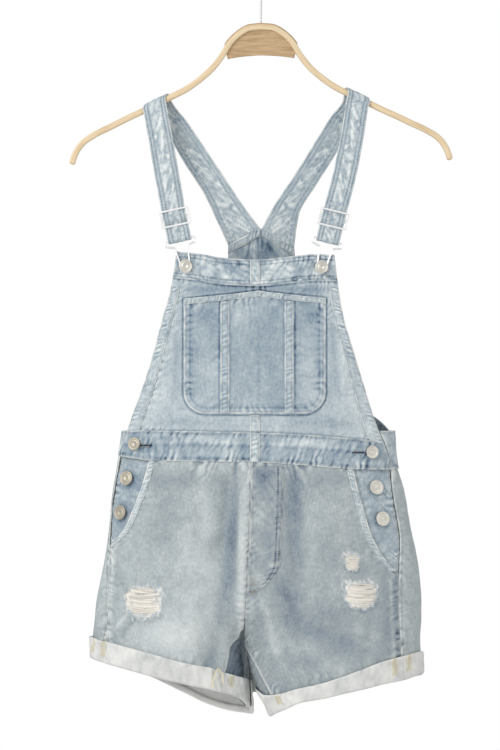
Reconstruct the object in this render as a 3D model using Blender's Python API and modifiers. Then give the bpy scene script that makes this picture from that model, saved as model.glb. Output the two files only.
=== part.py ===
"""Denim dungaree shorts hanging on a bent-wood hanger.

The frame has +Z up, +X to the viewer's right, and the front of the garment towards -Y.
The origin is inside the top of the hanger's hook, where a rail holds it. Every table below is
in millimetres, with "drop" the distance below that point, and the objects are made in metres.
"left" and "right" are the viewer's, looking at the front.
"""

import math

import bmesh
import bpy
import numpy as np
from mathutils import Matrix, Vector

MM = 0.001

# ---------------------------------------------------------------- driving sizes, millimetres
CLOTH = 1.6  # thickness of one layer of denim in the walls
OVERLAY = 1.1  # thickness of hems, laps and strips that lie on a panel
SEAM_GAP = 0.3  # clearance between neighbouring pieces
LAID_GAP = 0.5  # clearance under what lies on a curved panel
WAIST_GAP = 0.8  # clearance under the waistbands, whose lower edges curve
POCKET_GAP = 0.95  # clearance between a front leg and the facing behind it
CUFF_THICK = 2.2
BAND_THICK = 2 * CLOTH
STRAP_THICK = 2.2
STRAP_ROW = 14.0  # longest row of the straps' cloth
BUTTON_DIAMETER = {"bib band": 15.5, "waistband": 15.5, "facing": 17.4}
BUCKLE_WIRE = 2.2
BUCKLE_REACH = 33.4  # from the button's centre up to the bar that the strap goes round
BUCKLE_LIFT = 1.6  # from the bib's band to the middle of the buckle's wire
SLIDER_AT = 59.5  # from the button's centre up to the slider's middle
SLIDER_OUT = 4.2  # from the buckle's plane out to the slider's
SLIDER_THICK = 1.1
SLIDER_HALF_WIDE = 18.2
SLIDER_HALF_TALL = 10.2
SLOT_HALF_WIDE = 15.6
SLOT_TALL = 7.6
SLIDER_BAR_HALF = 1.0
HANGER_HALF_DEEP = 7.0
HANGER_HALF_TALL = 3.5
HANGER_EDGE = 2.0  # radius of the bar's rounded edges
WEB_HALF_THICK = 3.0
HOOK_WIRE = 2.4
HOOK_RADIUS = 21.0  # to the middle of the hook's wire

TRUNK_ROUNDNESS = 2.5  # exponent of the trunk's flattened oval section
LEG_ROUNDNESS = 2.3
CROTCH = 852.0
FORK_START = {"front": 772.0, "back": 765.0}  # drop where the rise leaves the wall for the crotch
SEAM_SHARE = 0.002  # clearance at each side of a leg's seams, as a share of its width

# ---------------------------------------------------------------- tables, millimetres
# The trunk's outline seen from the front, and how far its wall stands in front of and behind
# the hanger's plane.  twist moves the back towards +X for each millimetre of depth.
TRUNK = {
    "drop": (320, 355, 410, 470, 530, 570, 600, 637, 685, 733, 769, 793, 817, 850, 915),
    "left": (-170, -170, -168, -166, -165, -165, -170, -178, -184, -193, -201, -204, -207, -209, -212),
    "right": (160, 160, 158, 157, 157, 158, 159, 168, 175, 183, 185, 184, 182, 183, 187),
    "front": (18, 21, 26, 31, 36, 40, 43, 50, 58, 63, 65, 66, 66, 66, 66),
    "back": (17, 20, 25, 31, 38, 43, 47, 54, 62, 68, 71, 72, 72, 72, 72),
    "twist": (0, 0, 0, 0, 0, 0, 0.02, 0.04, 0.06, 0.08, 0.09, 0.1, 0.11, 0.12, 0.12),
}
# Outer edges of the bib and of the front waistband.
BIB_EDGES = {
    "drop": (345, 391, 433, 469, 511, 553, 567, 590, 612),
    "left": (-100, -106.8, -117.6, -127.2, -139.8, -154.6, -158.8, -166.5, -171.5),
    "right": (86.5, 91.8, 99, 109.5, 122, 135, 140, 149, 153.5),
}
# Side seams on the front of the trunk and legs, and the seam down the centre front.
SEAMS = {
    "drop": (590, 612, 637, 661, 697, 721, 757, 793, 829, 860, 915),
    "left": (-166.5, -171.5, -176.6, -180.6, -182.8, -183.4, -184, -185, -187.5, -189, -191),
    "right": (149, 153.5, 155.6, 159, 163.6, 162.6, 161.4, 161.8, 163.2, 165, 168),
    "centre": (-12.6, -12.8, -13.4, -14, -15.6, -16.6, -18, -20.4, -24.5, -22, -16),
}
# Innermost point of each leg at mid depth: level with the crotch, and below it.
LEG_INNER = {
    "drop": (770, 817, 852, 862, 877, 895, 915),
    "left": (-27.4, -27.4, -24.0, -24.5, -24.0, -22.0, -20.0),
    "right": (-22.6, -22.2, -18.4, -14.0, -8.0, 1.0, 9.0),
}
# Armhole edges of the back bib.
BACK_EDGES = {
    "drop": (320, 356, 397, 445, 493, 527, 546, 556, 566),
    "left": (-39.6, -39.6, -43, -53, -73, -104, -130, -143, -153),
    "right": (39.6, 40.8, 44.4, 54, 73, 104, 131, 144, 153),
}
# Slanted mouth of each hand pocket, and the drop of its foot at the side seam.
POCKET_SLANT = {
    "drop": (596, 601, 625, 643, 663, 682, 696, 706, 722, 734),
    "left": (-132, -133.2, -139.6, -145.6, -153.4, -161.6, -171.6, -180, -183.4, -183.6),
    "right": (107.5, 108, 112.6, 116.8, 122.4, 128, 133.6, 138.8, 149.4, 160.6),
}
POCKET_FOOT = {"left": 707.0, "right": 735.0}
# Hem and cuff of each half leg, by the share of the way round from the side seam to the inseam.
HEMS = {
    "share": (0.0, 0.12, 0.2, 0.35, 0.45, 0.6, 0.7, 0.8, 0.92, 1.0),
    "left_front": (842, 847, 851, 859, 864, 871, 876, 881, 891, 898),
    "left_back": (842, 838, 840, 851, 862, 885, 900, 907, 908, 898),
    "right_front": (863, 867, 871, 878, 883, 888.5, 896, 902, 907, 905),
    "right_back": (863, 857, 860, 868, 874, 881, 888, 894, 902, 905),
}
CUFF_TALL = {
    "share": (0.0, 0.12, 0.35, 0.6, 0.8, 0.92, 1.0),
    "left": (25, 26, 27, 25, 24, 29, 33),
    "right": (29, 27, 20, 17, 23, 33, 33),
}
# Soft folds of the front, as (x, drop) from and to, half width, and height (+ is a ridge).
FOLDS = (
    {"from": (-24, 612), "to": (-27, 815), "wide": 8.0, "high": 5.0},
    {"from": (-36, 612), "to": (-46, 715), "wide": 10.0, "high": -6.5},
    {"from": (-44, 680), "to": (-64, 862), "wide": 14.0, "high": -8.0},
    {"from": (-88, 625), "to": (-100, 850), "wide": 24.0, "high": 4.0},
    {"from": (38, 612), "to": (46, 760), "wide": 9.0, "high": -4.5},
    {"from": (28, 735), "to": (64, 825), "wide": 12.0, "high": -6.0},
    {"from": (60, 800), "to": (140, 826), "wide": 13.0, "high": -4.0},
    {"from": (-10, 765), "to": (14, 862), "wide": 9.0, "high": 4.5},
    {"from": (84, 630), "to": (94, 800), "wide": 26.0, "high": 3.5},
    {"from": (-106, 400), "to": (-104, 560), "wide": 14.0, "high": 2.2},
    {"from": (90, 440), "to": (104, 560), "wide": 14.0, "high": 1.8},
)
WAISTBAND = {
    "x": (-172, -151, -133, -13, 47, 107, 156),
    "top": (566, 565, 565.4, 567.6, 570, 575, 580),
    "bottom": (596.4, 599.4, 601.8, 603.6, 607, 612, 613),
}
BACK_WAIST_TOP = 566.0
BACK_WAIST = {
    "x": (-172, -140, -100, 100, 140, 165),
    "bottom": (596.4, 603, 606, 606, 610, 613),
}
BIB_TOP = {
    "x": (-101, -73, -43, -4, 35, 65, 88),
    "drop": (351.6, 354.6, 359.6, 361.4, 357.8, 355, 355.6),
}
BIB_BAND_TALL = 32.0
BIB_HEM_TOP = 396.0
BIB_HEM_SHARE = 0.055  # width of a side hem, as a share of the bib's width
ARMHOLE_HEM_TOP = 360.0
ARMHOLE_HEM_SHARE = 0.06
BACK_TOP = {"x": (-40, -20, 0, 20, 40), "drop": (343.6, 334.0, 324.0, 335.4, 348.4)}
YOKE_BAND_TALL = 9.0
# Bib pocket: x of its sides and of its peak, and drops of the peak, the upper corners and the foot.
POCKET_SIDES = (-92.4, 77.2)
POCKET_PEAK = (-3.0, 398.6)
POCKET_TOP = 408.0
POCKET_BOTTOM = 546.0
POCKET_CORNER = 27.0
POCKET_HEM_TALL = 7.0
PEN_STRIPS = {"left": (-48.5, -37.5), "right": (28.0, 39.0)}
# Lap over the centre seam: its x, and the drops of its three stretches.
CENTRE_LAP = {"x": (-13.2, -1.4), "band": (361.6, 392.0), "bib": (546.8, 567.0), "waist": (568.5, 603.0)}
FLY = {"wide": 38.0, "top": 608.6, "bottom": 757.0, "bend": 40.0, "from_seam": 1.6}

# Straps: edges nearer to and further from the centre line, from the yoke up to the hanger's bar
# and then from the bar down to the slider.  deep is the distance behind (+) the hanger's plane.
STRAP_BACK = {
    "left": {
        "in_x": (-1.2, -21.6, -43.5, -67, -90, -105),
        "in_drop": (322.4, 295, 262, 227, 193, 174),
        "out_x": (-39.8, -50.6, -67.5, -91, -114, -131),
        "out_drop": (342.2, 319, 283, 246, 208, 186),
        "deep": (18.3, 18.0, 16.6, 14.2, 11.4, 9.2),
    },
    "right": {
        "in_x": (1.2, 13, 38, 62, 83, 99),
        "in_drop": (322.4, 300, 262, 224, 190, 166),
        "out_x": (39.8, 45.6, 65, 86, 107, 124),
        "out_drop": (346.8, 307, 273, 240, 204, 176),
        "deep": (18.3, 18.0, 16.6, 14.2, 11.4, 9.2),
    },
}
STRAP_FRONT = {
    "left": {
        "in_x": (-113.4, -107.5, -99, -92.8),
        "in_drop": (174, 206, 253, 288),
        "out_x": (-140.6, -135.4, -127.6, -121),
        "out_drop": (186, 214, 259, 294),
        "deep": (-9.3, -12.5, -17.3, -21.0),
    },
    "right": {
        "in_x": (103.6, 96.5, 86.6, 77.6),
        "in_drop": (163, 206, 255, 290),
        "out_x": (130.4, 123.6, 114.0, 105.0),
        "out_drop": (173, 211, 261, 296),
        "deep": (-9.3, -12.5, -17.3, -21.0),
    },
}
# x of the strap's edges on top of the bar, and how much further out it lies in front of it.
BAR_CROSSING = {"left": (-112.0, -139.0, -2.5), "right": (102.0, 128.5, 2.5)}
STRAP_HALF_WIDE = 14.2  # at the buckle
BUCKLE_LEAN = {"left": -12.5, "right": 13.5}  # degrees from upright, seen from the front
BUCKLE_TILT = 5.0  # degrees that its top leans back towards the hanger

# Half of the buckle's wire from the strap's bar down to the keyhole's foot: x, and height over
# the button's centre.
BUCKLE_WIRE_LINE = (
    (0, 33.4), (15.6, 33.4), (17.3, 32.5), (18.0, 30.8), (18.0, 28.2), (17.2, 26.8),
    (15.6, 26.2), (9.0, 24.6), (7.7, 23.4), (7.4, 21.4), (7.0, 16.0), (6.3, 10.0),
    (5.7, 5.0), (5.3, 0.0), (4.6, -4.0), (3.0, -6.8), (0, -7.8),
)
BUTTONS = {
    "bib_button_left": {"x": -90.0, "drop": 369.6, "on": "bib band"},
    "bib_button_right": {"x": 72.0, "drop": 370.8, "on": "bib band"},
    "waist_button_left": {"x": -148.8, "drop": 582.0, "on": "waistband"},
    "waist_button_right": {"x": 130.8, "drop": 591.6, "on": "waistband"},
    "side_button_left_upper": {"x": -159.6, "drop": 622.8, "on": "facing"},
    "side_button_left_lower": {"x": -166.8, "drop": 663.6, "on": "facing"},
    "side_button_right_upper": {"x": 136.8, "drop": 633.6, "on": "facing"},
    "side_button_right_lower": {"x": 144.0, "drop": 670.8, "on": "facing"},
}
# Half section of a button: share of its radius, and height from its rim's top.
BUTTON_CAP = (
    (0.0, -0.5), (0.62, -0.5), (0.78, 0.0), (0.93, -0.25), (1.0, -1.0), (0.8, -1.8),
)
BUTTON_SHANK = 2.2  # radius
# How far a button's rim stands out from what it is set in.
BUTTON_TALL = {"bib band": 5.2, "waistband": 3.6, "facing": 4.2}
# Half of the hanger's centreline: sideways from the middle, and drop; and the web's lower edge.
HANGER = {
    "x": (0, 13, 25, 37, 46, 57, 72, 90, 108, 128, 145, 162, 179, 199, 214, 223, 227),
    "drop": (
        81.6, 82.8, 88.8, 100.2, 114.6, 129, 142.8, 155.4, 164.4,
        174, 182.4, 190.2, 198.6, 208.2, 218.4, 231.6, 244,
    ),
}
HANGER_TILT = 0.012  # the left end hangs lower, in millimetres for each millimetre
HANGER_POINTS = 20  # points along half of the bar
WEB_FOOT = {"x": (-45, -20, 0, 20, 45), "drop": (120.5, 116.5, 115.2, 116.0, 119.0)}
WEB_REACH = (44.0, 118.0)  # furthest x and drop of the arch that the web fills


# ---------------------------------------------------------------- curves through table rows
def curve(table, key, at, by="drop"):
    """Reads a table's column as a smooth curve through its rows (cubic, with no overshoot)."""
    known = np.asarray(table[by], float)
    value = np.asarray(table[key], float)
    step = np.diff(known)
    slope = np.diff(value) / step
    tangent = np.empty_like(value)
    tangent[0], tangent[-1] = slope[0], slope[-1]
    for i in range(1, len(value) - 1):
        if slope[i - 1] * slope[i] <= 0:
            tangent[i] = 0.0
        else:
            before = 2 * step[i] + step[i - 1]
            after = step[i] + 2 * step[i - 1]
            tangent[i] = (before + after) / (before / slope[i - 1] + after / slope[i])
    at = np.clip(np.asarray(at, float), known[0], known[-1])
    i = np.clip(np.searchsorted(known, at, side="right") - 1, 0, len(step) - 1)
    t = (at - known[i]) / step[i]
    read = (
        (2 * t**3 - 3 * t**2 + 1) * value[i]
        + (t**3 - 2 * t**2 + t) * step[i] * tangent[i]
        + (3 * t**2 - 2 * t**3) * value[i + 1]
        + (t**3 - t**2) * step[i] * tangent[i + 1]
    )
    return read if read.ndim else float(read)


def ease(t):
    """0 to 1 with level ends."""
    t = np.clip(t, 0.0, 1.0)
    return t * t * (3 - 2 * t)


def mix(a, b, t):
    return a + (b - a) * t


def crowd(across, columns, first, last):
    """Moves the columns next to the edges to these shares, so that walls meet squarely at a seam."""
    index = round(across * columns)
    if index in (0, columns):
        return across
    return mix(first, 1 - last, (index - 1) / (columns - 2))


# ---------------------------------------------------------------- sections of the cloth
def oval(angle, centre, half_wide, front, back, roundness):
    """A flattened oval seen from above: angle 0 at the front, 90 degrees at +X."""
    power = 2.0 / roundness
    sine, cosine = np.sin(angle), np.cos(angle)
    deep = np.where(cosine > 0, front, back)
    x = centre + half_wide * np.sign(sine) * np.abs(sine) ** power
    return x, -deep * np.sign(cosine) * np.abs(cosine) ** power


def oval_angle(x, shape):
    """The angle on the front half of the oval at which it passes x."""
    centre, half_wide, _front, _back, roundness = shape
    t = np.clip((x - centre) / half_wide, -1.0, 1.0)
    return np.sign(t) * np.arcsin(np.abs(t) ** (roundness / 2.0))


def arc(from_angle, to_angle, count, shape):
    """count points spread evenly by length along a stretch of the oval."""
    x, y = oval(np.linspace(from_angle, to_angle, 241), *shape)
    length = np.concatenate(([0.0], np.cumsum(np.hypot(np.diff(x), np.diff(y)))))
    even = np.linspace(0.0, length[-1], count)
    return np.stack((np.interp(even, length, x), np.interp(even, length, y)), axis=1)


def trunk_shape(drop):
    """Centre, half width, front and back depth, and roundness of the trunk at a drop."""
    left, right = curve(TRUNK, "left", drop), curve(TRUNK, "right", drop)
    front, back = curve(TRUNK, "front", drop), curve(TRUNK, "back", drop)
    return (left + right) / 2, (right - left) / 2, front, back, TRUNK_ROUNDNESS


def leg_shape(side, drop):
    """The same for one leg below the fork."""
    outer, inner = curve(TRUNK, side, drop), curve(LEG_INNER, side, drop)
    front, back = curve(TRUNK, "front", drop), curve(TRUNK, "back", drop)
    return (outer + inner) / 2, abs(inner - outer) / 2, front, back, LEG_ROUNDNESS


def bib_section(drop, count):
    """The front from edge to edge, above the legs."""
    shape = trunk_shape(drop)
    left = oval_angle(curve(BIB_EDGES, "left", drop), shape)
    right = oval_angle(curve(BIB_EDGES, "right", drop), shape)
    return arc(left, right, count, shape)


def back_section(drop, count):
    """The back bib from armhole to armhole, from -X to +X."""
    shape = trunk_shape(drop)
    left = math.pi - oval_angle(curve(BACK_EDGES, "left", drop), shape)
    right = math.pi - oval_angle(curve(BACK_EDGES, "right", drop), shape)
    return arc(left, right, count, shape)


def back_waist_section(drop, count):
    """Round the back from the right end of the front waistband to its left end."""
    shape = trunk_shape(drop)
    clear = 0.012  # radians left open at each end
    right = oval_angle(curve(BIB_EDGES, "right", drop), shape) + clear
    left = oval_angle(curve(BIB_EDGES, "left", drop), shape) - clear
    return arc(right, left + 2 * math.pi, count, shape)


def leg_section(side, face):
    """Half a leg's section: from the side seam to the centre seam, and to the inseam below the fork."""
    toward = -1 if side == "left" else 1
    start = FORK_START[face]

    def section(drop, count):
        trunk, leg = trunk_shape(drop), leg_shape(side, drop)
        seam = curve(SEAMS, side, drop)
        centre = oval_angle(curve(SEAMS, "centre", drop), trunk)
        if face == "front":
            upper = arc(oval_angle(seam, trunk), centre, count, trunk)
            lower = arc(oval_angle(seam, leg), -toward * math.pi / 2, count, leg)
        else:
            upper = arc(oval_angle(seam, trunk), toward * math.pi - centre / 2, count, trunk)
            lower = arc(oval_angle(seam, leg), toward * 3 * math.pi / 2, count, leg)
        return mix(upper, lower, ease((drop - start) / (CROTCH - start)))

    return section


def fold_height(net):
    """Height of the soft folds at each point of a net."""
    x, drop = net[:, :, 0], -net[:, :, 2]
    total = np.zeros_like(x)
    for fold in FOLDS:
        start, end = np.array(fold["from"], float), np.array(fold["to"], float)
        way = end - start
        t = ((x - start[0]) * way[0] + (drop - start[1]) * way[1]) / (way @ way)
        off = np.hypot(x - start[0] - t * way[0], drop - start[1] - t * way[1])
        fade = ease(t / 0.2) * ease((1 - t) / 0.2)
        total += fold["high"] * fade * np.exp(-((off / fold["wide"]) ** 2))
    return total


class Sheet:
    """A stretch of cloth as a fine net of points: across runs 0 to 1, and drop runs downwards.

    Its surface is the inner face of the wall.  at() gives points on it, or lifted off it along
    its outward normal, and that is how everything that lies on a panel is placed.
    """

    NET = 97  # points across

    def __init__(self, section, top, bottom, folded=False):
        self.drops = np.linspace(top, bottom, int((bottom - top) / 2.5) + 2)
        self.net = np.zeros((len(self.drops), self.NET, 3))
        for row, drop in zip(self.net, self.drops):
            row[:, :2] = section(drop, self.NET)
            row[:, 2] = -drop
        behind_front = self.net[:, :, 1] + curve(TRUNK, "front", self.drops)[:, None]
        self.net[:, :, 0] += curve(TRUNK, "twist", self.drops)[:, None] * behind_front
        if folded:
            self.net[:, :, 1] -= fold_height(self.net)
        normal = np.cross(np.gradient(self.net, axis=1), np.gradient(self.net, axis=0))
        normal /= np.linalg.norm(normal, axis=2, keepdims=True)
        middle = (len(self.drops) // 2, self.NET // 2)
        self.turned = normal[middle][1] * self.net[middle][1] > 0  # a grid laid on it faces inwards
        self.normal = normal if self.turned else -normal

    def at(self, across, drop, lift=0.0):
        """Point at a share across and a drop, lifted off the surface."""
        first, last = self.drops[0], self.drops[-1]
        row = (min(max(drop, first), last) - first) / (last - first) * (len(self.drops) - 1)
        column = min(max(across, 0.0), 1.0) * (self.NET - 1)
        i = min(int(row), len(self.drops) - 2)
        j = min(int(column), self.NET - 2)
        down, along = row - i, column - j
        weight = np.outer((1 - down, down), (1 - along, along))[:, :, None]
        point = (weight * self.net[i : i + 2, j : j + 2]).sum(axis=(0, 1))
        normal = (weight * self.normal[i : i + 2, j : j + 2]).sum(axis=(0, 1))
        return Vector(point + normal / np.linalg.norm(normal) * lift)

    def across_of(self, x, drop):
        """Share across at which the sheet passes x at that drop."""
        xs = self.net[int(np.argmin(np.abs(self.drops - drop))), :, 0]
        order = np.argsort(xs)
        return float(np.interp(x, xs[order], np.linspace(0, 1, self.NET)[order]))

    def between(self, top, bottom, lift, start=0.0, end=1.0):
        """Maker of points between two edges, each a drop or a function of the share across."""

        def place(across, down):
            share = mix(start, end, across)
            upper = top(share) if callable(top) else top
            lower = bottom(share) if callable(bottom) else bottom
            return self.at(share, mix(upper, lower, down), lift)

        return place

    def strip(self, sides, ends, lift):
        """Maker of points of an upright strip between two x and two drops."""

        def place(across, down):
            drop = mix(*ends, down)
            return self.at(self.across_of(mix(*sides, across), drop), drop, lift)

        return place


def build_sheets():
    """The stretches of cloth that every piece is cut from."""
    sheets = {
        "bib": Sheet(bib_section, 340, 620, folded=True),
        "back": Sheet(back_section, 318, 570),
        "back_waist": Sheet(back_waist_section, 560, 618),
    }
    for side in ("left", "right"):
        sheets[f"{side}_front"] = Sheet(leg_section(side, "front"), 590, 915, folded=True)
        sheets[f"{side}_back"] = Sheet(leg_section(side, "back"), 590, 915)
    return sheets


# ---------------------------------------------------------------- making objects
def new_material(name, colour, roughness, metallic=0.0):
    """A plain Principled finish."""
    material = bpy.data.materials.new(name)
    material.use_nodes = True
    shader = material.node_tree.nodes["Principled BSDF"]
    shader.inputs["Base Color"].default_value = (*colour, 1.0)
    shader.inputs["Roughness"].default_value = roughness
    shader.inputs["Metallic"].default_value = metallic
    return material


def new_object(name, data, material):
    """Links data to the garment's collection as a named object."""
    data.materials.append(material)
    made = bpy.data.objects.new(name, data)
    garment.objects.link(made)
    return made


def in_metres(matrix):
    """A placing matrix whose shift is in millimetres, with its shift in metres."""
    placed = matrix.copy()
    placed.translation = matrix.translation * MM
    return placed


def cloth(name, sheet, place, columns, rows, thick, material, offset=1.0):
    """A grid laid at place(across, down) and given its thickness by Solidify.

    offset 1 thickens it outwards, -1 inwards, and 0 to both sides.
    """
    work = bmesh.new()
    bmesh.ops.create_grid(work, x_segments=columns, y_segments=rows, size=0.5)
    for corner in work.verts:
        corner.co = place(corner.co.x + 0.5, 0.5 - corner.co.y) * MM
    if sheet and sheet.turned:
        bmesh.ops.reverse_faces(work, faces=work.faces)
    mesh = bpy.data.meshes.new(name)
    work.to_mesh(mesh)
    work.free()
    mesh.shade_smooth()
    made = new_object(name, mesh, material)
    wall = made.modifiers.new("thickness", "SOLIDIFY")
    wall.thickness = thick * MM
    wall.offset = offset
    return made


# ---------------------------------------------------------------- bib, pocket and waistbands
def band_edge(sheet, key, drop):
    """An edge of the front waistband as a function of the share across a sheet."""
    return lambda share: curve(WAISTBAND, key, sheet.at(share, drop).x, by="x")


def bib_top_edge(sheet):
    return lambda share: curve(BIB_TOP, "drop", sheet.at(share, 356).x, by="x")


def build_bib(sheets, denim, pale):
    """Bib panel, top band, side hems and the two ends of the centre lap."""
    bib = sheets["bib"]
    top, waist = bib_top_edge(bib), band_edge(bib, "top", 570)
    laid = CLOTH + LAID_GAP

    def foot(share):
        return waist(share) - SEAM_GAP

    def band_foot(share):
        return top(share) + BIB_BAND_TALL

    cloth("bib_panel", bib, bib.between(top, foot, 0.0), 16, 10, CLOTH, denim)
    cloth("bib_top_band", bib, bib.between(top, band_foot, laid), 16, 2, OVERLAY, denim)
    for side, start in (("left", 0.0), ("right", 1 - BIB_HEM_SHARE)):
        hem = bib.between(BIB_HEM_TOP, foot, laid, start, start + BIB_HEM_SHARE)
        cloth(f"bib_side_hem_{side}", bib, hem, 1, 11, OVERLAY, pale)
    upper = bib.strip(CENTRE_LAP["x"], CENTRE_LAP["band"], laid + OVERLAY + LAID_GAP)
    cloth("bib_centre_lap_upper", bib, upper, 1, 2, OVERLAY, pale)
    lower = bib.strip(CENTRE_LAP["x"], CENTRE_LAP["bib"], laid)
    cloth("bib_centre_lap_lower", bib, lower, 1, 1, OVERLAY, pale)


def pocket_top(x):
    """Upper edge of the bib pocket: two nearly straight slopes up to a peak."""
    left, right = POCKET_SIDES
    peak_x, peak_drop = POCKET_PEAK
    out = min(1.0, abs(x - peak_x) / (right - left) * 2)
    return mix(peak_drop, POCKET_TOP, out**0.85)


def pocket_bottom(x):
    """Lower edge of the bib pocket, with a quarter circle at each corner."""
    left, right = POCKET_SIDES
    inset = max(0.0, POCKET_CORNER - min(x - left, right - x))
    return POCKET_BOTTOM - POCKET_CORNER + math.sqrt(max(0.0, POCKET_CORNER**2 - inset**2))


def build_bib_pocket(sheets, denim, pale):
    """Bib pocket with its top hem and two pen strips."""
    bib = sheets["bib"]
    laid = CLOTH + LAID_GAP
    on_pocket = laid + OVERLAY + LAID_GAP

    def patch(lift, bottom):
        def place(across, down):
            to_corners = across - 0.022 * math.sin(4 * math.pi * across)  # columns crowd at the corners
            x = mix(*POCKET_SIDES, to_corners)
            drop = mix(pocket_top(x), bottom(x), down)
            return bib.at(bib.across_of(x, drop), drop, lift)

        return place

    cloth("bib_pocket", bib, patch(laid, pocket_bottom), 18, 7, OVERLAY, denim)
    hem = patch(on_pocket, lambda x: pocket_top(x) + POCKET_HEM_TALL)
    cloth("bib_pocket_hem", bib, hem, 14, 1, OVERLAY, pale)
    edge = 0.8  # from the foot of the pocket up to the strips' ends
    for side, sides in PEN_STRIPS.items():
        first = pocket_top(sum(sides) / 2) + POCKET_HEM_TALL + 1.0
        strip = bib.strip(sides, (first, POCKET_BOTTOM - edge), on_pocket)
        cloth(f"bib_pocket_strip_{side}", bib, strip, 1, 6, OVERLAY, pale)


def build_waistbands(sheets, denim, pale):
    """Front waistband with its centre lap, and the back waistband."""
    bib, back = sheets["bib"], sheets["back_waist"]
    front = bib.between(band_edge(bib, "top", 570), band_edge(bib, "bottom", 600), 0.0)
    cloth("waistband_front", bib, front, 22, 2, BAND_THICK, denim)
    lap = bib.strip(CENTRE_LAP["x"], CENTRE_LAP["waist"], BAND_THICK + LAID_GAP)
    cloth("waistband_centre_lap", bib, lap, 1, 2, OVERLAY, pale)

    behind = back.between(BACK_WAIST_TOP, back_waist_edge(back), 0.0)
    columns, end = 30, 0.01

    def squared(across, down):
        return behind(crowd(across, columns, end, end), down)

    cloth("waistband_back", back, squared, columns, 2, BAND_THICK, denim)


def back_waist_edge(sheet):
    """Lower edge of the back waistband as a function of the share across a sheet."""
    return lambda share: curve(BACK_WAIST, "bottom", sheet.at(share, 604).x, by="x")


# ---------------------------------------------------------------- legs
# Drops of the rows that a leg shares with its pocket, close together at the pockets' feet.
ROW_DROPS = (625, 646, 664, 678, 690, 699, 707.5, 719, 735.5, 756)
ROWS_TO_CUFF = 4
ROWS_IN_CUFF = 3
CUFF_REACH = 24.0  # height of the rows kept for the cuff
LEG_ROWS = len(ROW_DROPS) + ROWS_TO_CUFF + ROWS_IN_CUFF
LEG_COLUMNS = {"front": 20, "back": 14}
SEAM_COLUMN = 0.03  # a leg's column next to a seam, as a share of its width


def leg_drop(down, top, hem):
    """Drop of a row: both legs share their rows down to the crotch, and the last ones lie in the cuff."""
    turn = min(CROTCH, hem - CUFF_REACH)
    row = round(down * LEG_ROWS) - len(ROW_DROPS)
    if row <= 0:
        return (top, *ROW_DROPS)[row + len(ROW_DROPS)]
    if row <= ROWS_TO_CUFF:
        return mix(ROW_DROPS[-1], turn, row / ROWS_TO_CUFF)
    return mix(turn, hem, (row - ROWS_TO_CUFF) / ROWS_IN_CUFF)


def shared_rows(top, bottom):
    """The legs' rows between two drops, for what lies on a front leg or behind it."""
    margin = 4.0
    return [top, *(drop for drop in ROW_DROPS if top + margin < drop < bottom - margin), bottom]


def build_legs(sheets, denim, pale, lining):
    """Front legs cut away along the pocket mouths, back legs, cuffs and hand pockets."""
    for side in ("left", "right"):
        for face in ("front", "back"):
            build_leg(sheets[f"{side}_{face}"], side, face, denim, lining)
        build_hand_pocket(sheets[f"{side}_front"], side, denim, pale)


def build_leg(sheet, side, face, denim, lining):
    """Half of a leg, and its half of the turned-up cuff."""
    columns = LEG_COLUMNS[face]
    if face == "front":
        edge, mouth = band_edge(sheet, "bottom", 600), pocket_mouth(sheet, side)
        first = 1 / columns  # its first edge is the pocket's mouth, not a seam
    else:
        edge, mouth = back_waist_edge(sheet), lambda drop: 0.0
        first = SEAM_COLUMN

    def hem(share):
        return curve(HEMS, f"{side}_{face}", share, by="share")

    def leg(across, down):
        across = crowd(across, columns, first, SEAM_COLUMN)
        top = edge(mix(mouth(600), 1, across)) + WAIST_GAP
        drop = leg_drop(down, top, hem(across))
        return sheet.at(mix(mouth(drop) + SEAM_SHARE, 1 - SEAM_SHARE, across), drop)

    cloth(f"leg_{face}_{side}", sheet, leg, columns, LEG_ROWS, CLOTH, denim)

    lean = 1.2  # the cuff's top stands this much further out than its fold
    clear = 2 * SEAM_SHARE

    def cuff(across, down):
        share = mix(clear, 1 - clear, crowd(across, columns, first, SEAM_COLUMN))
        up = 1 - down
        drop = hem(share) - curve(CUFF_TALL, side, share, by="share") * up
        return sheet.at(share, drop, CLOTH + LAID_GAP + lean * up)

    cloth(f"cuff_{face}_{side}", sheet, cuff, columns, 2, CUFF_THICK, lining)


def pocket_mouth(sheet, side):
    """Share across at which the slanted mouth of the hand pocket lies, as a function of the drop."""

    def mouth(drop):
        if drop >= POCKET_FOOT[side]:
            return 0.0
        return sheet.across_of(curve(POCKET_SLANT, side, drop), drop)

    return mouth


def build_hand_pocket(sheet, side, denim, pale):
    """The facing seen inside the slanted mouth of the hand pocket, and the hem along the mouth."""
    foot = POCKET_FOOT[side]
    # Shares of the sheet: how far the facing runs on behind the front and stays off the side
    # seam, and how wide the hem is.
    under, off_seam, hem_share = 0.09, 4 * SEAM_SHARE, 0.046
    waist, mouth = band_edge(sheet, "bottom", 600), pocket_mouth(sheet, side)
    facing_rows = shared_rows(0.0, foot + 6.0)
    hem_rows = shared_rows(waist(mouth(600)) + 1.2, foot - 2.0)

    def facing(across, down):
        row = round(down * (len(facing_rows) - 1))
        drop = facing_rows[row] if row else waist(across * (mouth(600) + under)) + WAIST_GAP
        return sheet.at(mix(off_seam, mouth(drop) + under, across), drop, -POCKET_GAP)

    cloth(f"pocket_facing_{side}", sheet, facing, 8, len(facing_rows) - 1, CLOTH, denim, offset=-1.0)

    def hem(across, down):
        drop = hem_rows[round(down * (len(hem_rows) - 1))]
        return sheet.at(mouth(drop) + 2 * SEAM_SHARE + hem_share * across, drop, CLOTH + LAID_GAP)

    cloth(f"pocket_hem_{side}", sheet, hem, 1, len(hem_rows) - 1, OVERLAY, pale)


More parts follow.
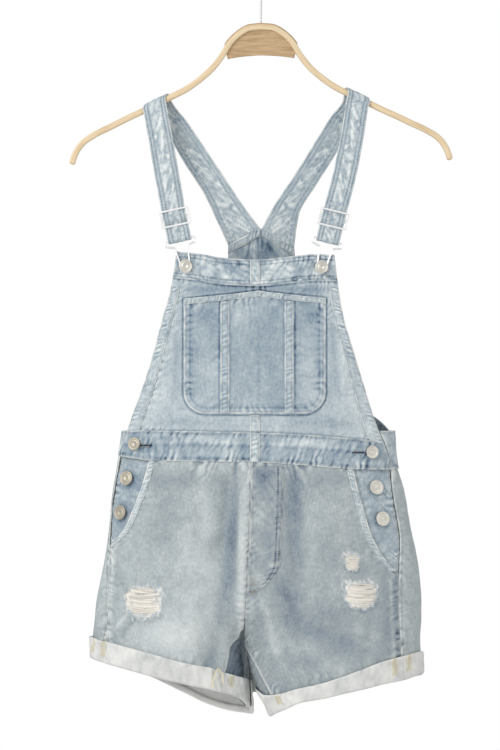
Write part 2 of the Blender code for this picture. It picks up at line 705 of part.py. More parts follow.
def build_fly(sheets, denim):
    """The J-shaped fly shield beside the centre seam."""
    sheet = sheets["right_front"]

    def place(across, down):
        drop = mix(FLY["top"], FLY["bottom"], down)
        inset = max(0.0, drop - (FLY["bottom"] - FLY["bend"])) / FLY["bend"]
        reach = FLY["wide"] * math.sqrt(max(0.02, 1 - inset**2))
        x = curve(SEAMS, "centre", drop) + FLY["from_seam"] + reach * (1 - across)
        return sheet.at(sheet.across_of(x, drop), drop, CLOTH + LAID_GAP)

    cloth("fly_shield", sheet, place, 5, 13, OVERLAY, denim)


# ---------------------------------------------------------------- back
def build_back(sheets, denim, pale):
    """Back bib that narrows to the yoke, its armhole hems, and the V of yoke bands."""
    back = sheets["back"]

    def top(share):
        return curve(BACK_TOP, "drop", mix(BACK_TOP["x"][0], BACK_TOP["x"][-1], share), by="x")

    def band_foot(share):
        return top(share) + YOKE_BAND_TALL

    foot = BACK_WAIST_TOP - SEAM_GAP
    cloth("back_bib", back, back.between(top, foot, 0.0), 14, 12, CLOTH, denim)
    for side, start in (("left", 0.0), ("right", 1 - ARMHOLE_HEM_SHARE)):
        end = start + ARMHOLE_HEM_SHARE
        hem = back.between(ARMHOLE_HEM_TOP, foot, CLOTH + LAID_GAP, start, end)
        cloth(f"armhole_hem_{side}", back, hem, 1, 11, OVERLAY, pale)
    half = 0.494  # each band's share of the yoke, short of its point
    for side, start in (("left", 0.0), ("right", 1 - half)):
        band = back.between(top, band_foot, -LAID_GAP, start, start + half)
        cloth(f"yoke_band_{side}", back, band, 5, 1, OVERLAY, pale, offset=-1.0)


# ---------------------------------------------------------------- straps and their hardware
def bar_drop(x):
    """Drop of the hanger bar's centreline at x."""
    return curve(HANGER, "drop", abs(x), by="x") - HANGER_TILT * x


def buckle_frame(side, sheets):
    """Place of a buckle: origin at its button, X across, Y up along the strap, Z out of the bib."""
    bib, button = sheets["bib"], BUTTONS[f"bib_button_{side}"]
    share = bib.across_of(button["x"], button["drop"])
    origin = bib.at(share, button["drop"], CLOTH + LAID_GAP + OVERLAY + BUCKLE_LIFT)
    lean, tilt = math.radians(BUCKLE_LEAN[side]), math.radians(BUCKLE_TILT)
    up = Vector((math.sin(lean) * math.cos(tilt), math.sin(tilt), math.cos(lean) * math.cos(tilt)))
    across = up.cross(Vector((0.0, -1.0, 0.0))).normalized()
    turn = Matrix((across, up, across.cross(up))).transposed()
    return Matrix.Translation(origin) @ turn.to_4x4()


def table_stations(table):
    """Pairs of edge points read straight from a strap's table."""
    near = zip(table["in_x"], table["deep"], table["in_drop"])
    far = zip(table["out_x"], table["deep"], table["out_drop"])
    return [(Vector((a, y, -d)), Vector((b, y, -e))) for (a, y, d), (b, _, e) in zip(near, far)]


def bar_stations(side):
    """Pairs of edge points over the hanger's bar, from behind it to its front."""
    corner_y, corner_z = HANGER_HALF_DEEP - HANGER_EDGE, HANGER_HALF_TALL - HANGER_EDGE
    reach = HANGER_EDGE + STRAP_THICK / 2 + 2 * SEAM_GAP
    steep = 1.1  # the bar slopes here, so it is this much taller than it is thick
    near_x, far_x, further = BAR_CROSSING[side]
    stations = []
    for turn in (0, 30, 60, 90, 90, 120, 150, 180):
        angle = math.radians(turn)
        back = len(stations) < 4
        y = (corner_y if back else -corner_y) + reach * math.cos(angle)
        rise = (corner_z + reach * math.sin(angle)) * steep
        slide = -further * math.cos(angle)
        pair = (near_x + slide, far_x + slide)
        stations.append(tuple(Vector((x, y, rise - bar_drop(x))) for x in pair))
    return stations


def buckle_stations(side, sheets):
    """Pairs of edge points through the slider, round the buckle's bar and back up behind."""
    frame = buckle_frame(side, sheets)
    layer = (BUCKLE_WIRE + STRAP_THICK) / 2 + 1.5 * SEAM_GAP
    wave = (SLIDER_THICK + STRAP_THICK) / 2 + SEAM_GAP
    path = [
        (SLIDER_AT + 10.6, SLIDER_OUT - wave), (SLIDER_AT + 8.2, SLIDER_OUT - wave),
        (SLIDER_AT + 1.6, SLIDER_OUT + wave), (SLIDER_AT - 1.6, SLIDER_OUT + wave),
        (SLIDER_AT - 8.2, SLIDER_OUT - wave), (SLIDER_AT - 10.6, SLIDER_OUT - wave),
        (BUCKLE_REACH + 6.0, layer), (BUCKLE_REACH, layer),
    ]
    for turn in range(30, 180, 30):
        angle = math.radians(turn)
        path.append((BUCKLE_REACH - layer * math.sin(angle), layer * math.cos(angle)))
    path += [(BUCKLE_REACH, -layer), (BUCKLE_REACH + 12.0, -layer), (SLIDER_AT + 3.0, -layer)]
    near = STRAP_HALF_WIDE if side == "left" else -STRAP_HALF_WIDE
    return [(frame @ Vector((near, up, out)), frame @ Vector((-near, up, out))) for up, out in path]


def strap_rows(stations):
    """Rows of edge points on a smooth curve through the stations, no longer than STRAP_ROW."""
    middle = [(near + far) / 2 for near, far in stations]
    spans = [(b - a).length for a, b in zip(middle, middle[1:])]
    table = {"length": np.concatenate(([0.0], np.cumsum(spans)))}
    for edge in (0, 1):
        for axis in range(3):
            table[(edge, axis)] = [pair[edge][axis] for pair in stations]
    rows = []
    for start, span in zip(table["length"], spans):
        parts = math.ceil(span / STRAP_ROW)
        rows += [start + span * part / parts for part in range(parts)]
    rows.append(table["length"][-1])

    def point(edge, at):
        return Vector([curve(table, (edge, axis), at, by="length") for axis in range(3)])

    return [(point(0, at), point(1, at)) for at in rows]


def build_strap(side, sheets, denim):
    """One strap as a band of cloth: yoke, over the bar, slider, buckle and back to the slider."""
    stations = table_stations(STRAP_BACK[side]) + bar_stations(side)
    stations += table_stations(STRAP_FRONT[side]) + buckle_stations(side, sheets)
    rows = strap_rows(stations)
    count = len(rows) - 1

    def place(across, down):
        near, far = rows[round(down * count)]
        return near.lerp(far, across)

    cloth(f"strap_{side}", None, place, 2, count, STRAP_THICK, denim, offset=0.0)


def build_buckle(side, sheets, metal):
    """Wire buckle: a wide loop for the strap that narrows to a keyhole hooked under the button."""
    outline = [*BUCKLE_WIRE_LINE, *((-x, y) for x, y in BUCKLE_WIRE_LINE[-2:0:-1])]
    data = bpy.data.curves.new(f"buckle_{side}", "CURVE")
    data.dimensions = "3D"
    wire = data.splines.new("POLY")
    wire.points.add(len(outline) - 1)
    for point, (x, y) in zip(wire.points, outline):
        point.co = (x * MM, y * MM, 0.0, 1.0)
    wire.use_cyclic_u = True
    data.bevel_depth = BUCKLE_WIRE / 2 * MM
    data.bevel_resolution = 1
    new_object(f"buckle_{side}", data, metal).matrix_world = in_metres(buckle_frame(side, sheets))


def build_slider(side, sheets, metal):
    """Flat adjuster frame with two slots; the strap passes over its middle bar."""
    slot_far = SLIDER_BAR_HALF + SLOT_TALL
    rings = (
        (SLIDER_HALF_WIDE, -SLIDER_HALF_TALL, SLIDER_HALF_TALL),
        (SLOT_HALF_WIDE, SLIDER_BAR_HALF, slot_far),
        (SLOT_HALF_WIDE, -slot_far, -SLIDER_BAR_HALF),
    )
    data = bpy.data.curves.new(f"slider_{side}", "CURVE")
    data.dimensions = "2D"
    data.fill_mode = "BOTH"
    data.extrude = SLIDER_THICK / 2 * MM
    for half, low, high in rings:
        ring = data.splines.new("POLY")
        ring.points.add(3)
        corners = ((-half, low), (half, low), (half, high), (-half, high))
        for point, (x, y) in zip(ring.points, corners):
            point.co = (x * MM, y * MM, 0.0, 1.0)
        ring.use_cyclic_u = True
    placed = buckle_frame(side, sheets) @ Matrix.Translation((0.0, SLIDER_AT, SLIDER_OUT))
    new_object(f"slider_{side}", data, metal).matrix_world = in_metres(placed)


def build_buttons(sheets, metal):
    """Tack buttons: a dished cap on a short shank, taller over the buckles' wire."""
    on_band = CLOTH + LAID_GAP + OVERLAY
    lifts = {"bib band": on_band, "waistband": BAND_THICK, "facing": -POCKET_GAP}
    for name, row in BUTTONS.items():
        side = "left" if row["x"] < 0 else "right"
        sheet = sheets[f"{side}_front"] if row["on"] == "facing" else sheets["bib"]
        share = sheet.across_of(row["x"], row["drop"])
        foot = sheet.at(share, row["drop"], lifts[row["on"]] + SEAM_GAP)
        out = sheet.at(share, row["drop"], 1.0) - sheet.at(share, row["drop"])
        if row["on"] == "bib band":
            out = buckle_frame(side, sheets).col[2].to_3d()
        build_button(name, foot, out, BUTTON_TALL[row["on"]], BUTTON_DIAMETER[row["on"]], metal)


def build_button(name, foot, out, tall, diameter, metal):
    """One button, turned round its own axis."""
    cap = [(diameter / 2 * share, tall + height) for share, height in BUTTON_CAP]
    profile = [*cap, (BUTTON_SHANK, cap[-1][1]), (BUTTON_SHANK, 0.0), (0.0, 0.0)]
    work = bmesh.new()
    rim = [work.verts.new((x * MM, 0.0, z * MM)) for x, z in profile]
    for first, second in zip(rim, rim[1:]):
        work.edges.new((first, second))
    mesh = bpy.data.meshes.new(name)
    work.to_mesh(mesh)
    work.free()
    made = new_object(name, mesh, metal)
    turn = out.to_track_quat("Z", "Y").to_matrix().to_4x4()
    made.matrix_world = Matrix.Translation(foot * MM) @ turn
    turned = made.modifiers.new("turned", "SCREW")
    turned.steps = turned.render_steps = 12
    turned.use_merge_vertices = True
    turned.merge_threshold = 0.00001


# ---------------------------------------------------------------- hanger
def hanger_line():
    """Points along the bar's centreline in x and z, from the right end to the left end."""
    half = np.stack((HANGER["x"], HANGER["drop"]), axis=1).astype(float)
    length = np.concatenate(([0.0], np.cumsum(np.hypot(*np.diff(half, axis=0).T))))
    smooth = {"length": length, "x": half[:, 0], "drop": half[:, 1]}
    even = np.linspace(0.0, length[-1], HANGER_POINTS)
    pairs = [[curve(smooth, key, at, by="length") for key in ("x", "drop")] for at in even]
    right = [Vector((x, HANGER_TILT * x - drop)) for x, drop in pairs[:0:-1]]
    left = [Vector((-x, -HANGER_TILT * x - drop)) for x, drop in pairs]
    return right + left


def flat_outline(name, outline, half_thick, edge, material):
    """A flat piece in the hanger's plane from its outline in x and z, with its edges rounded."""
    data = bpy.data.curves.new(name, "CURVE")
    data.dimensions = "2D"
    data.fill_mode = "BOTH"
    data.extrude = (half_thick - edge) * MM
    data.bevel_depth = edge * MM
    data.bevel_resolution = 1
    ring = data.splines.new("POLY")
    ring.points.add(len(outline) - 1)
    for point, place in zip(ring.points, outline):
        point.co = (place.x * MM, place.y * MM, 0.0, 1.0)
    ring.use_cyclic_u = True
    made = new_object(name, data, material)
    made.rotation_euler = (math.pi / 2, 0.0, 0.0)


def build_hanger(wood, steel):
    """Bent bar, the web that fills its arch, and the hook."""
    line = hanger_line()
    last = len(line) - 1
    square = []
    for i in range(len(line)):
        way = (line[max(i - 1, 0)] - line[min(i + 1, last)]).normalized()
        square.append(Vector((-way.y, way.x)))
    core = HANGER_HALF_TALL - HANGER_EDGE
    upper = [p + s * core for p, s in zip(line, square)]
    lower = [p - s * core for p, s in zip(line, square)]
    flat_outline("hanger_bar", upper + lower[::-1], HANGER_HALF_DEEP, HANGER_EDGE, wood)

    web_edge = 0.5
    under = [p - s * (HANGER_HALF_TALL + SEAM_GAP + web_edge) for p, s in zip(line, square)]
    furthest, lowest = WEB_REACH
    arch = [p for p in under if abs(p.x) < furthest and p.y > -lowest]
    across = np.linspace(arch[-1].x, arch[0].x, 9)
    foot = [Vector((x, -curve(WEB_FOOT, "drop", x, by="x"))) for x in across]
    flat_outline("hanger_web", arch + foot, WEB_HALF_THICK, web_edge, wood)

    bar_top = HANGER_HALF_TALL - HANGER["drop"][0]
    centre = HOOK_WIRE / 2 - HOOK_RADIUS
    neck = centre - HOOK_RADIUS - 8.0
    route = [(0.0, bar_top + SEAM_GAP), (0.0, (bar_top + neck) / 2), (0.0, neck), (2.2, neck + 4.5)]
    for turn in range(-60, 200, 20):
        angle = math.radians(turn)
        route.append((HOOK_RADIUS * math.cos(angle), centre + HOOK_RADIUS * math.sin(angle)))
    data = bpy.data.curves.new("hanger_hook", "CURVE")
    data.dimensions = "3D"
    wire = data.splines.new("POLY")
    wire.points.add(len(route) - 1)
    for point, (x, z) in zip(wire.points, route):
        point.co = (x * MM, 0.0, z * MM, 1.0)
    data.bevel_depth = HOOK_WIRE / 2 * MM
    data.bevel_resolution = 2
    data.use_fill_caps = True
    new_object("hanger_hook", data, steel)


# ---------------------------------------------------------------- build
for old in list(bpy.data.objects):
    bpy.data.objects.remove(old)
garment = bpy.data.collections.new("dungaree_shorts")
bpy.context.scene.collection.children.link(garment)

denim_blue = new_material("denim_blue", (0.50, 0.60, 0.67), 0.9)
denim_pale = new_material("denim_pale", (0.62, 0.69, 0.70), 0.9)
denim_inside = new_material("denim_inside", (0.74, 0.74, 0.72), 0.92)
button_metal = new_material("button_metal", (0.72, 0.68, 0.60), 0.35, 0.9)
buckle_metal = new_material("buckle_metal", (0.85, 0.86, 0.87), 0.25, 1.0)
hook_steel = new_material("hook_steel", (0.78, 0.79, 0.80), 0.3, 1.0)
hanger_wood = new_material("hanger_wood", (0.78, 0.62, 0.42), 0.55)

cut = build_sheets()
build_bib(cut, denim_blue, denim_pale)
build_bib_pocket(cut, denim_blue, denim_pale)
build_waistbands(cut, denim_blue, denim_pale)
build_legs(cut, denim_blue, denim_pale, denim_inside)
build_fly(cut, denim_blue)
build_back(cut, denim_blue, denim_pale)
for strap_side in ("left", "right"):
    build_strap(strap_side, cut, denim_blue)
    build_buckle(strap_side, cut, buckle_metal)
    build_slider(strap_side, cut, buckle_metal)
build_buttons(cut, button_metal)
build_hanger(hanger_wood, hook_steel)
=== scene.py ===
# %% [markdown]
# # Denim dungaree shorts on a bent-wood hanger
# A washed-out pair of short dungarees hangs from a wooden hanger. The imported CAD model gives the
# plain solids: every panel, hem, strap, buckle and button at its real size. This lesson dresses
# them. Each cloth solid gets a thin, finely divided shell on the same form, with its creases,
# puckers and stitches, and each metal or wooden piece gets its real detail.
#
# All lengths in the tables are millimetres. "drop" is the distance below the top of the hanger's
# hook, and "left" and "right" are the viewer's. Blender works in metres.

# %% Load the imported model
import math
from types import SimpleNamespace

import bpy
import numpy as np
from mathutils import Matrix, Vector


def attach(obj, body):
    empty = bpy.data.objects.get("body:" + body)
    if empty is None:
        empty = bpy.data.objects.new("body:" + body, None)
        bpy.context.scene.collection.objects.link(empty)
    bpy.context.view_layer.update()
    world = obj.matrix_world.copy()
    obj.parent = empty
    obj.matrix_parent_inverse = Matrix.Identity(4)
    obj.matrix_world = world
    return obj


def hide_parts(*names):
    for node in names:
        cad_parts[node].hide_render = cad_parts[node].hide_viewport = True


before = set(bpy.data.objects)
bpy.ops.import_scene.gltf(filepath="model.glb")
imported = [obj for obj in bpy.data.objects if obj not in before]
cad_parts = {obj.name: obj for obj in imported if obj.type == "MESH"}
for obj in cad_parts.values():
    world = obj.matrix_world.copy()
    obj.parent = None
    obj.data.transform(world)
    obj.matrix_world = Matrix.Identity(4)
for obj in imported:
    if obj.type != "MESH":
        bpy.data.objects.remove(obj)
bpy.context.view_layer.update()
bpy.ops.object.select_all(action="DESELECT")
MM = 0.001

# %% [markdown]
# ## The cut of the cloth
# A maker's pattern is a set of outlines. Here they are short tables: how wide and how deep the
# body of the garment is at each drop, where its seams run, and where hems and waistbands end.
# The same numbers shaped the CAD solids, so the new shells land on them.

# %% Tables of the cut
CLOTH, OVERLAY = 1.6, 1.1  # thickness of a panel, and of a hem, a lap or the pocket on it
LAID_GAP, POCKET_GAP = 0.5, 0.95  # air under what lies on a panel, and before a pocket's facing
BAND_THICK, CUFF_THICK, STRAP_THICK = 3.2, 2.2, 2.2
CROTCH = 852.0
FORK_START = {"front": 772.0, "back": 765.0}
TRUNK_ROUNDNESS, LEG_ROUNDNESS = 2.5, 2.3
TRUNK = {
    "drop": (320, 355, 410, 470, 530, 570, 600, 637, 685, 733, 769, 793, 817, 850, 915),
    "left": (-170, -170, -168, -166, -165, -165, -170, -178, -184, -193, -201, -204, -207, -209, -212),
    "right": (160, 160, 158, 157, 157, 158, 159, 168, 175, 183, 185, 184, 182, 183, 187),
    "front": (18, 21, 26, 31, 36, 40, 43, 50, 58, 63, 65, 66, 66, 66, 66),
    "back": (17, 20, 25, 31, 38, 43, 47, 54, 62, 68, 71, 72, 72, 72, 72),
    "twist": (0, 0, 0, 0, 0, 0, 0.02, 0.04, 0.06, 0.08, 0.09, 0.1, 0.11, 0.12, 0.12),
}
BIB_EDGES = {
    "drop": (345, 391, 433, 469, 511, 553, 567, 590, 612),
    "left": (-100, -106.8, -117.6, -127.2, -139.8, -154.6, -158.8, -166.5, -171.5),
    "right": (86.5, 91.8, 99, 109.5, 122, 135, 140, 149, 153.5),
}
SEAMS = {
    "drop": (590, 612, 637, 661, 697, 721, 757, 793, 829, 860, 915),
    "left": (-166.5, -171.5, -176.6, -180.6, -182.8, -183.4, -184, -185, -187.5, -189, -191),
    "right": (149, 153.5, 155.6, 159, 163.6, 162.6, 161.4, 161.8, 163.2, 165, 168),
    "centre": (-12.6, -12.8, -13.4, -14, -15.6, -16.6, -18, -20.4, -24.5, -22, -16),
}
LEG_INNER = {
    "drop": (770, 817, 852, 862, 877, 895, 915),
    "left": (-27.4, -27.4, -24.0, -24.5, -24.0, -22.0, -20.0),
    "right": (-22.6, -22.2, -18.4, -14.0, -8.0, 1.0, 9.0),
}
BACK_EDGES = {
    "drop": (320, 356, 397, 445, 493, 527, 546, 556, 566),
    "left": (-39.6, -39.6, -43, -53, -73, -104, -130, -143, -153),
    "right": (39.6, 40.8, 44.4, 54, 73, 104, 131, 144, 153),
}
POCKET_SLANT = {
    "drop": (596, 601, 625, 643, 663, 682, 696, 706, 722, 734),
    "left": (-132, -133.2, -139.6, -145.6, -153.4, -161.6, -171.6, -180, -183.4, -183.6),
    "right": (107.5, 108, 112.6, 116.8, 122.4, 128, 133.6, 138.8, 149.4, 160.6),
}
POCKET_FOOT = {"left": 707.0, "right": 735.0}
HEMS = {
    "share": (0.0, 0.12, 0.2, 0.35, 0.45, 0.6, 0.7, 0.8, 0.92, 1.0),
    "left_front": (842, 847, 851, 859, 864, 871, 876, 881, 891, 898),
    "left_back": (842, 838, 840, 851, 862, 885, 900, 907, 908, 898),
    "right_front": (863, 867, 871, 878, 883, 888.5, 896, 902, 907, 905),
    "right_back": (863, 857, 860, 868, 874, 881, 888, 894, 902, 905),
}
CUFF_TALL = {
    "share": (0.0, 0.12, 0.35, 0.6, 0.8, 0.92, 1.0),
    "left": (25, 26, 27, 25, 24, 29, 33),
    "right": (29, 27, 20, 17, 23, 33, 33),
}
FOLDS = {
    "from": (
        (-24, 612), (-36, 612), (-44, 680), (-88, 625), (38, 612), (28, 735), (60, 800), (-10, 765),
        (84, 630), (-106, 400), (90, 440),
    ),
    "to": (
        (-27, 815), (-46, 715), (-64, 862), (-100, 850), (46, 760), (64, 825), (140, 826), (14, 862),
        (94, 800), (-104, 560), (104, 560),
    ),
    "wide": (8.0, 10.0, 14.0, 24.0, 9.0, 12.0, 13.0, 9.0, 26.0, 14.0, 14.0),
    "high": (5.0, -6.5, -8.0, 4.0, -4.5, -6.0, -4.0, 4.5, 3.5, 2.2, 1.8),
}
WAISTBAND = {
    "x": (-172, -151, -133, -13, 47, 107, 156),
    "top": (566, 565, 565.4, 567.6, 570, 575, 580),
    "bottom": (596.4, 599.4, 601.8, 603.6, 607, 612, 613),
}
BACK_WAIST_TOP = 566.0
BACK_WAIST = {
    "x": (-172, -140, -100, 100, 140, 165),
    "bottom": (596.4, 603, 606, 606, 610, 613),
}
BIB_TOP = {
    "x": (-101, -73, -43, -4, 35, 65, 88),
    "drop": (351.6, 354.6, 359.6, 361.4, 357.8, 355, 355.6),
}
BIB_BAND_TALL, BIB_HEM_TOP, BIB_HEM_SHARE = 32.0, 396.0, 0.055
ARMHOLE_HEM_TOP, ARMHOLE_HEM_SHARE = 360.0, 0.06
BACK_TOP = {"x": (-40, -20, 0, 20, 40), "drop": (343.6, 334.0, 324.0, 335.4, 348.4)}
YOKE_BAND_TALL = 9.0
POCKET_SIDES, POCKET_PEAK = (-92.4, 77.2), (-3.0, 398.6)
POCKET_TOP, POCKET_BOTTOM, POCKET_CORNER, POCKET_HEM_TALL = 408.0, 546.0, 27.0, 7.0
PEN_STRIPS = {"left": (-48.5, -37.5), "right": (28.0, 39.0)}
CENTRE_LAP = {"x": (-13.2, -1.4), "band": (361.6, 392.0), "bib": (546.8, 567.0), "waist": (568.5, 603.0)}
FLY = {"wide": 38.0, "top": 608.6, "bottom": 757.0, "bend": 40.0, "from_seam": 1.6}

# %% [markdown]
# ## Smooth curves through the tables
# A row of numbers becomes a curve with a monotone cubic, which never swings past its points the
# way a loose spline would. `ease` gives a soft step from 0 to 1, `mix` blends two values, and
# `bell` is a soft hump.

# %% Curves
def curve(table, key, at, by="drop"):
    """Reads a column of a table as a smooth curve with no overshoot."""
    known = np.asarray(table[by], float)
    value = np.asarray(table[key], float)
    step = np.diff(known)
    slope = np.diff(value) / step
    tangent = np.empty_like(value)
    tangent[0], tangent[-1] = slope[0], slope[-1]
    for i in range(1, len(value) - 1):
        if slope[i - 1] * slope[i] <= 0:
            tangent[i] = 0.0
        else:
            before, after = 2 * step[i] + step[i - 1], step[i] + 2 * step[i - 1]
            tangent[i] = (before + after) / (before / slope[i - 1] + after / slope[i])
    at = np.clip(np.asarray(at, float), known[0], known[-1])
    i = np.clip(np.searchsorted(known, at, side="right") - 1, 0, len(step) - 1)
    t = (at - known[i]) / step[i]
    return (
        (2 * t**3 - 3 * t**2 + 1) * value[i]
        + (t**3 - 2 * t**2 + t) * step[i] * tangent[i]
        + (3 * t**2 - 2 * t**3) * value[i + 1]
        + (t**3 - t**2) * step[i] * tangent[i + 1]
    )


def ease(t):
    t = np.clip(t, 0.0, 1.0)
    return t * t * (3 - 2 * t)


def mix(a, b, t):
    return a + (b - a) * t


def bell(off, wide):
    """1 where off is 0, and nearly nothing at twice the width."""
    return np.exp(-((off / wide) ** 2))


def run_along(line):
    """Length run from the first point of a line to each of its points."""
    return np.concatenate(([0.0], np.cumsum(np.linalg.norm(np.diff(line, axis=0), axis=1))))


print("half way up the bib its left edge is at", round(float(curve(BIB_EDGES, "left", 450)), 1), "mm")

# %% [markdown]
# ## Sheets of cloth
# Seen from above, the hanging garment is a flattened oval, and below the fork it parts into one
# oval for each leg. A `Sheet` walks down such sections and keeps a fine net of points with their
# outward normals. Whatever is sewn on a panel can then be placed on it by two numbers: the share
# of the way across, and the drop.

# %% Sections
def oval(angle, centre, half_wide, front, back, roundness):
    """A flattened oval from above: angle 0 at the front, 90 degrees at +X."""
    power = 2.0 / roundness
    sine, cosine = np.sin(angle), np.cos(angle)
    deep = np.where(cosine > 0, front, back)
    x = centre + half_wide * np.sign(sine) * np.abs(sine) ** power
    return x, -deep * np.sign(cosine) * np.abs(cosine) ** power


def oval_angle(x, shape):
    """The angle on the front half of the oval at which it passes x."""
    centre, half_wide, _front, _back, roundness = shape
    t = np.clip((x - centre) / half_wide, -1.0, 1.0)
    return np.sign(t) * np.arcsin(np.abs(t) ** (roundness / 2.0))


def arc(from_angle, to_angle, count, shape):
    """Points spread evenly by length along a stretch of the oval."""
    x, y = oval(np.linspace(from_angle, to_angle, 961), *shape)
    length = np.concatenate(([0.0], np.cumsum(np.hypot(np.diff(x), np.diff(y)))))
    even = np.linspace(0.0, length[-1], count)
    return np.stack((np.interp(even, length, x), np.interp(even, length, y)), axis=1)


def trunk_shape(drop):
    left, right = curve(TRUNK, "left", drop), curve(TRUNK, "right", drop)
    front, back = curve(TRUNK, "front", drop), curve(TRUNK, "back", drop)
    return (left + right) / 2, (right - left) / 2, front, back, TRUNK_ROUNDNESS


def leg_shape(side, drop):
    outer, inner = curve(TRUNK, side, drop), curve(LEG_INNER, side, drop)
    front, back = curve(TRUNK, "front", drop), curve(TRUNK, "back", drop)
    return (outer + inner) / 2, abs(inner - outer) / 2, front, back, LEG_ROUNDNESS


def bib_section(drop, count):
    shape = trunk_shape(drop)
    ends = [oval_angle(curve(BIB_EDGES, side, drop), shape) for side in ("left", "right")]
    return arc(*ends, count, shape)


def back_section(drop, count):
    shape = trunk_shape(drop)
    ends = [math.pi - oval_angle(curve(BACK_EDGES, side, drop), shape) for side in ("left", "right")]
    return arc(*ends, count, shape)


def back_waist_section(drop, count):
    shape = trunk_shape(drop)
    clear = 0.012  # radians left open at each end
    right = oval_angle(curve(BIB_EDGES, "right", drop), shape) + clear
    left = oval_angle(curve(BIB_EDGES, "left", drop), shape) - clear
    return arc(right, left + 2 * math.pi, count, shape)


def leg_section(side, face):
    """Half a leg: from its side seam to the centre seam, or to the inseam below the fork."""
    toward = -1 if side == "left" else 1

    def section(drop, count):
        trunk, leg = trunk_shape(drop), leg_shape(side, drop)
        seam = curve(SEAMS, side, drop)
        centre = oval_angle(curve(SEAMS, "centre", drop), trunk)
        if face == "front":
            upper = arc(oval_angle(seam, trunk), centre, count, trunk)
            lower = arc(oval_angle(seam, leg), -toward * math.pi / 2, count, leg)
        else:
            upper = arc(oval_angle(seam, trunk), toward * math.pi - centre / 2, count, trunk)
            lower = arc(oval_angle(seam, leg), toward * 3 * math.pi / 2, count, leg)
        start = FORK_START[face]
        return mix(upper, lower, ease((drop - start) / (CROTCH - start)))

    return section


def ridge_height(x, drop, rows):
    """Height of soft ridges (+) and troughs (-) between two points each, given as (x, drop)."""
    total = np.zeros_like(x)
    for start, end, wide, high in zip(*rows.values()):
        start, end = np.array(start, float), np.array(end, float)
        way = end - start
        t = ((x - start[0]) * way[0] + (drop - start[1]) * way[1]) / (way @ way)
        off = np.hypot(x - start[0] - t * way[0], drop - start[1] - t * way[1])
        fade = ease(t / 0.2) * ease((1 - t) / 0.2)
        total += high * fade * bell(off, wide)
    return total


# %% Sheets
def gridded(net):
    """Unit normals of a net of points, pointing along across x down."""
    normal = np.cross(np.gradient(net, axis=1), np.gradient(net, axis=0))
    return normal / np.linalg.norm(normal, axis=2, keepdims=True)


class Sheet:
    """A stretch of cloth as a fine net: across runs 0 to 1, and drop runs downwards.

    Its surface is the inner face of the CAD wall, and lift is measured outwards from it.
    """

    NET = 321

    def __init__(self, section, top, bottom, folded=False):
        self.drops = np.linspace(top, bottom, int(bottom - top) + 1)
        self.net = np.zeros((len(self.drops), self.NET, 3))
        for row, drop in zip(self.net, self.drops):
            row[:, :2] = section(drop, self.NET)
            row[:, 2] = -drop
        behind_front = self.net[:, :, 1] + curve(TRUNK, "front", self.drops)[:, None]
        self.net[:, :, 0] += curve(TRUNK, "twist", self.drops)[:, None] * behind_front
        if folded:
            self.net[:, :, 1] -= ridge_height(self.net[:, :, 0], -self.net[:, :, 2], FOLDS)
        normal = gridded(self.net)
        middle = (len(self.drops) // 2, self.NET // 2)
        self.normal = normal if normal[middle][1] * self.net[middle][1] > 0 else -normal

    def at(self, across, drop, lift=0.0):
        """Points at shares across and drops, lifted off the surface, and their normals."""
        across, drop = np.broadcast_arrays(np.asarray(across, float), drop)
        column = np.clip(across, 0, 1) * (self.NET - 1)
        row = np.clip(drop - self.drops[0], 0, len(self.drops) - 1.001)
        j = np.minimum(column.astype(int), self.NET - 2)
        i = row.astype(int)
        s, t = (column - j)[..., None], (row - i)[..., None]

        def read(field):
            upper = mix(field[i, j], field[i, j + 1], s)
            return mix(upper, mix(field[i + 1, j], field[i + 1, j + 1], s), t)

        normal = read(self.normal)
        normal = normal / np.linalg.norm(normal, axis=-1, keepdims=True)
        return read(self.net) + normal * np.asarray(lift, float)[..., None], normal

    def across_of(self, x, drop):
        """Shares across at which the sheet passes x at those drops."""
        x, drop = np.broadcast_arrays(np.asarray(x, float), drop)
        found = np.empty(x.shape)
        share = np.linspace(0, 1, self.NET)
        for place in np.ndindex(x.shape):
            xs = self.net[int(np.clip(round(drop[place] - self.drops[0]), 0, len(self.drops) - 1)), :, 0]
            order = np.argsort(xs)
            found[place] = np.interp(x[place], xs[order], share[order])
        return found

    def at_x(self, x, drop, lift=0.0):
        """Points and normals where the sheet passes x."""
        return self.at(self.across_of(x, drop), drop, lift)


sheets = {
    "bib": Sheet(bib_section, 340, 620, folded=True),
    "back": Sheet(back_section, 318, 570),
    "back_waist": Sheet(back_waist_section, 560, 618),
}
for side in ("left", "right"):
    sheets[f"{side}_front"] = Sheet(leg_section(side, "front"), 590, 916, folded=True)
    sheets[f"{side}_back"] = Sheet(leg_section(side, "back"), 590, 916)
print("sheets:", {name: sheet.net.shape[:2] for name, sheet in sheets.items()})

# %% [markdown]
# ## Laying a piece of cloth
# Each piece starts as a grid primitive, with squares of about 1.2 to 3.2 mm, coarser where
# less shows. Its points are moved onto the sheet, pushed up or down by its creases and puckers, and then
# Solidify gives the grid the thickness of denim. Three values are painted on the points while
# their shape is known: how faded the cloth is, how worn to white, and how much raw weft shows.
# The value for fading also carries painted shade and painted light.

# %% Noise that stays the same each run
def soft_noise(u, v, cell_u, cell_v, seed):
    """Smooth noise from -1 to 1 over two lengths, with cells of the given size."""
    table = np.random.default_rng(seed).uniform(-1, 1, (64, 64))
    p, q = u / cell_u + 1000.0, v / cell_v + 1000.0
    i, j = np.floor(p).astype(int), np.floor(q).astype(int)
    s, t = ease(p - i), ease(q - j)
    i, j, k, m = i % 64, j % 64, (i + 1) % 64, (j + 1) % 64
    return mix(mix(table[i, j], table[k, j], s), mix(table[i, m], table[k, m], s), t)


# %% Cloth from a grid
def spread(columns, rows):
    """Shares across and down for a grid."""
    return np.meshgrid(np.linspace(0, 1, columns + 1), np.linspace(0, 1, rows + 1))


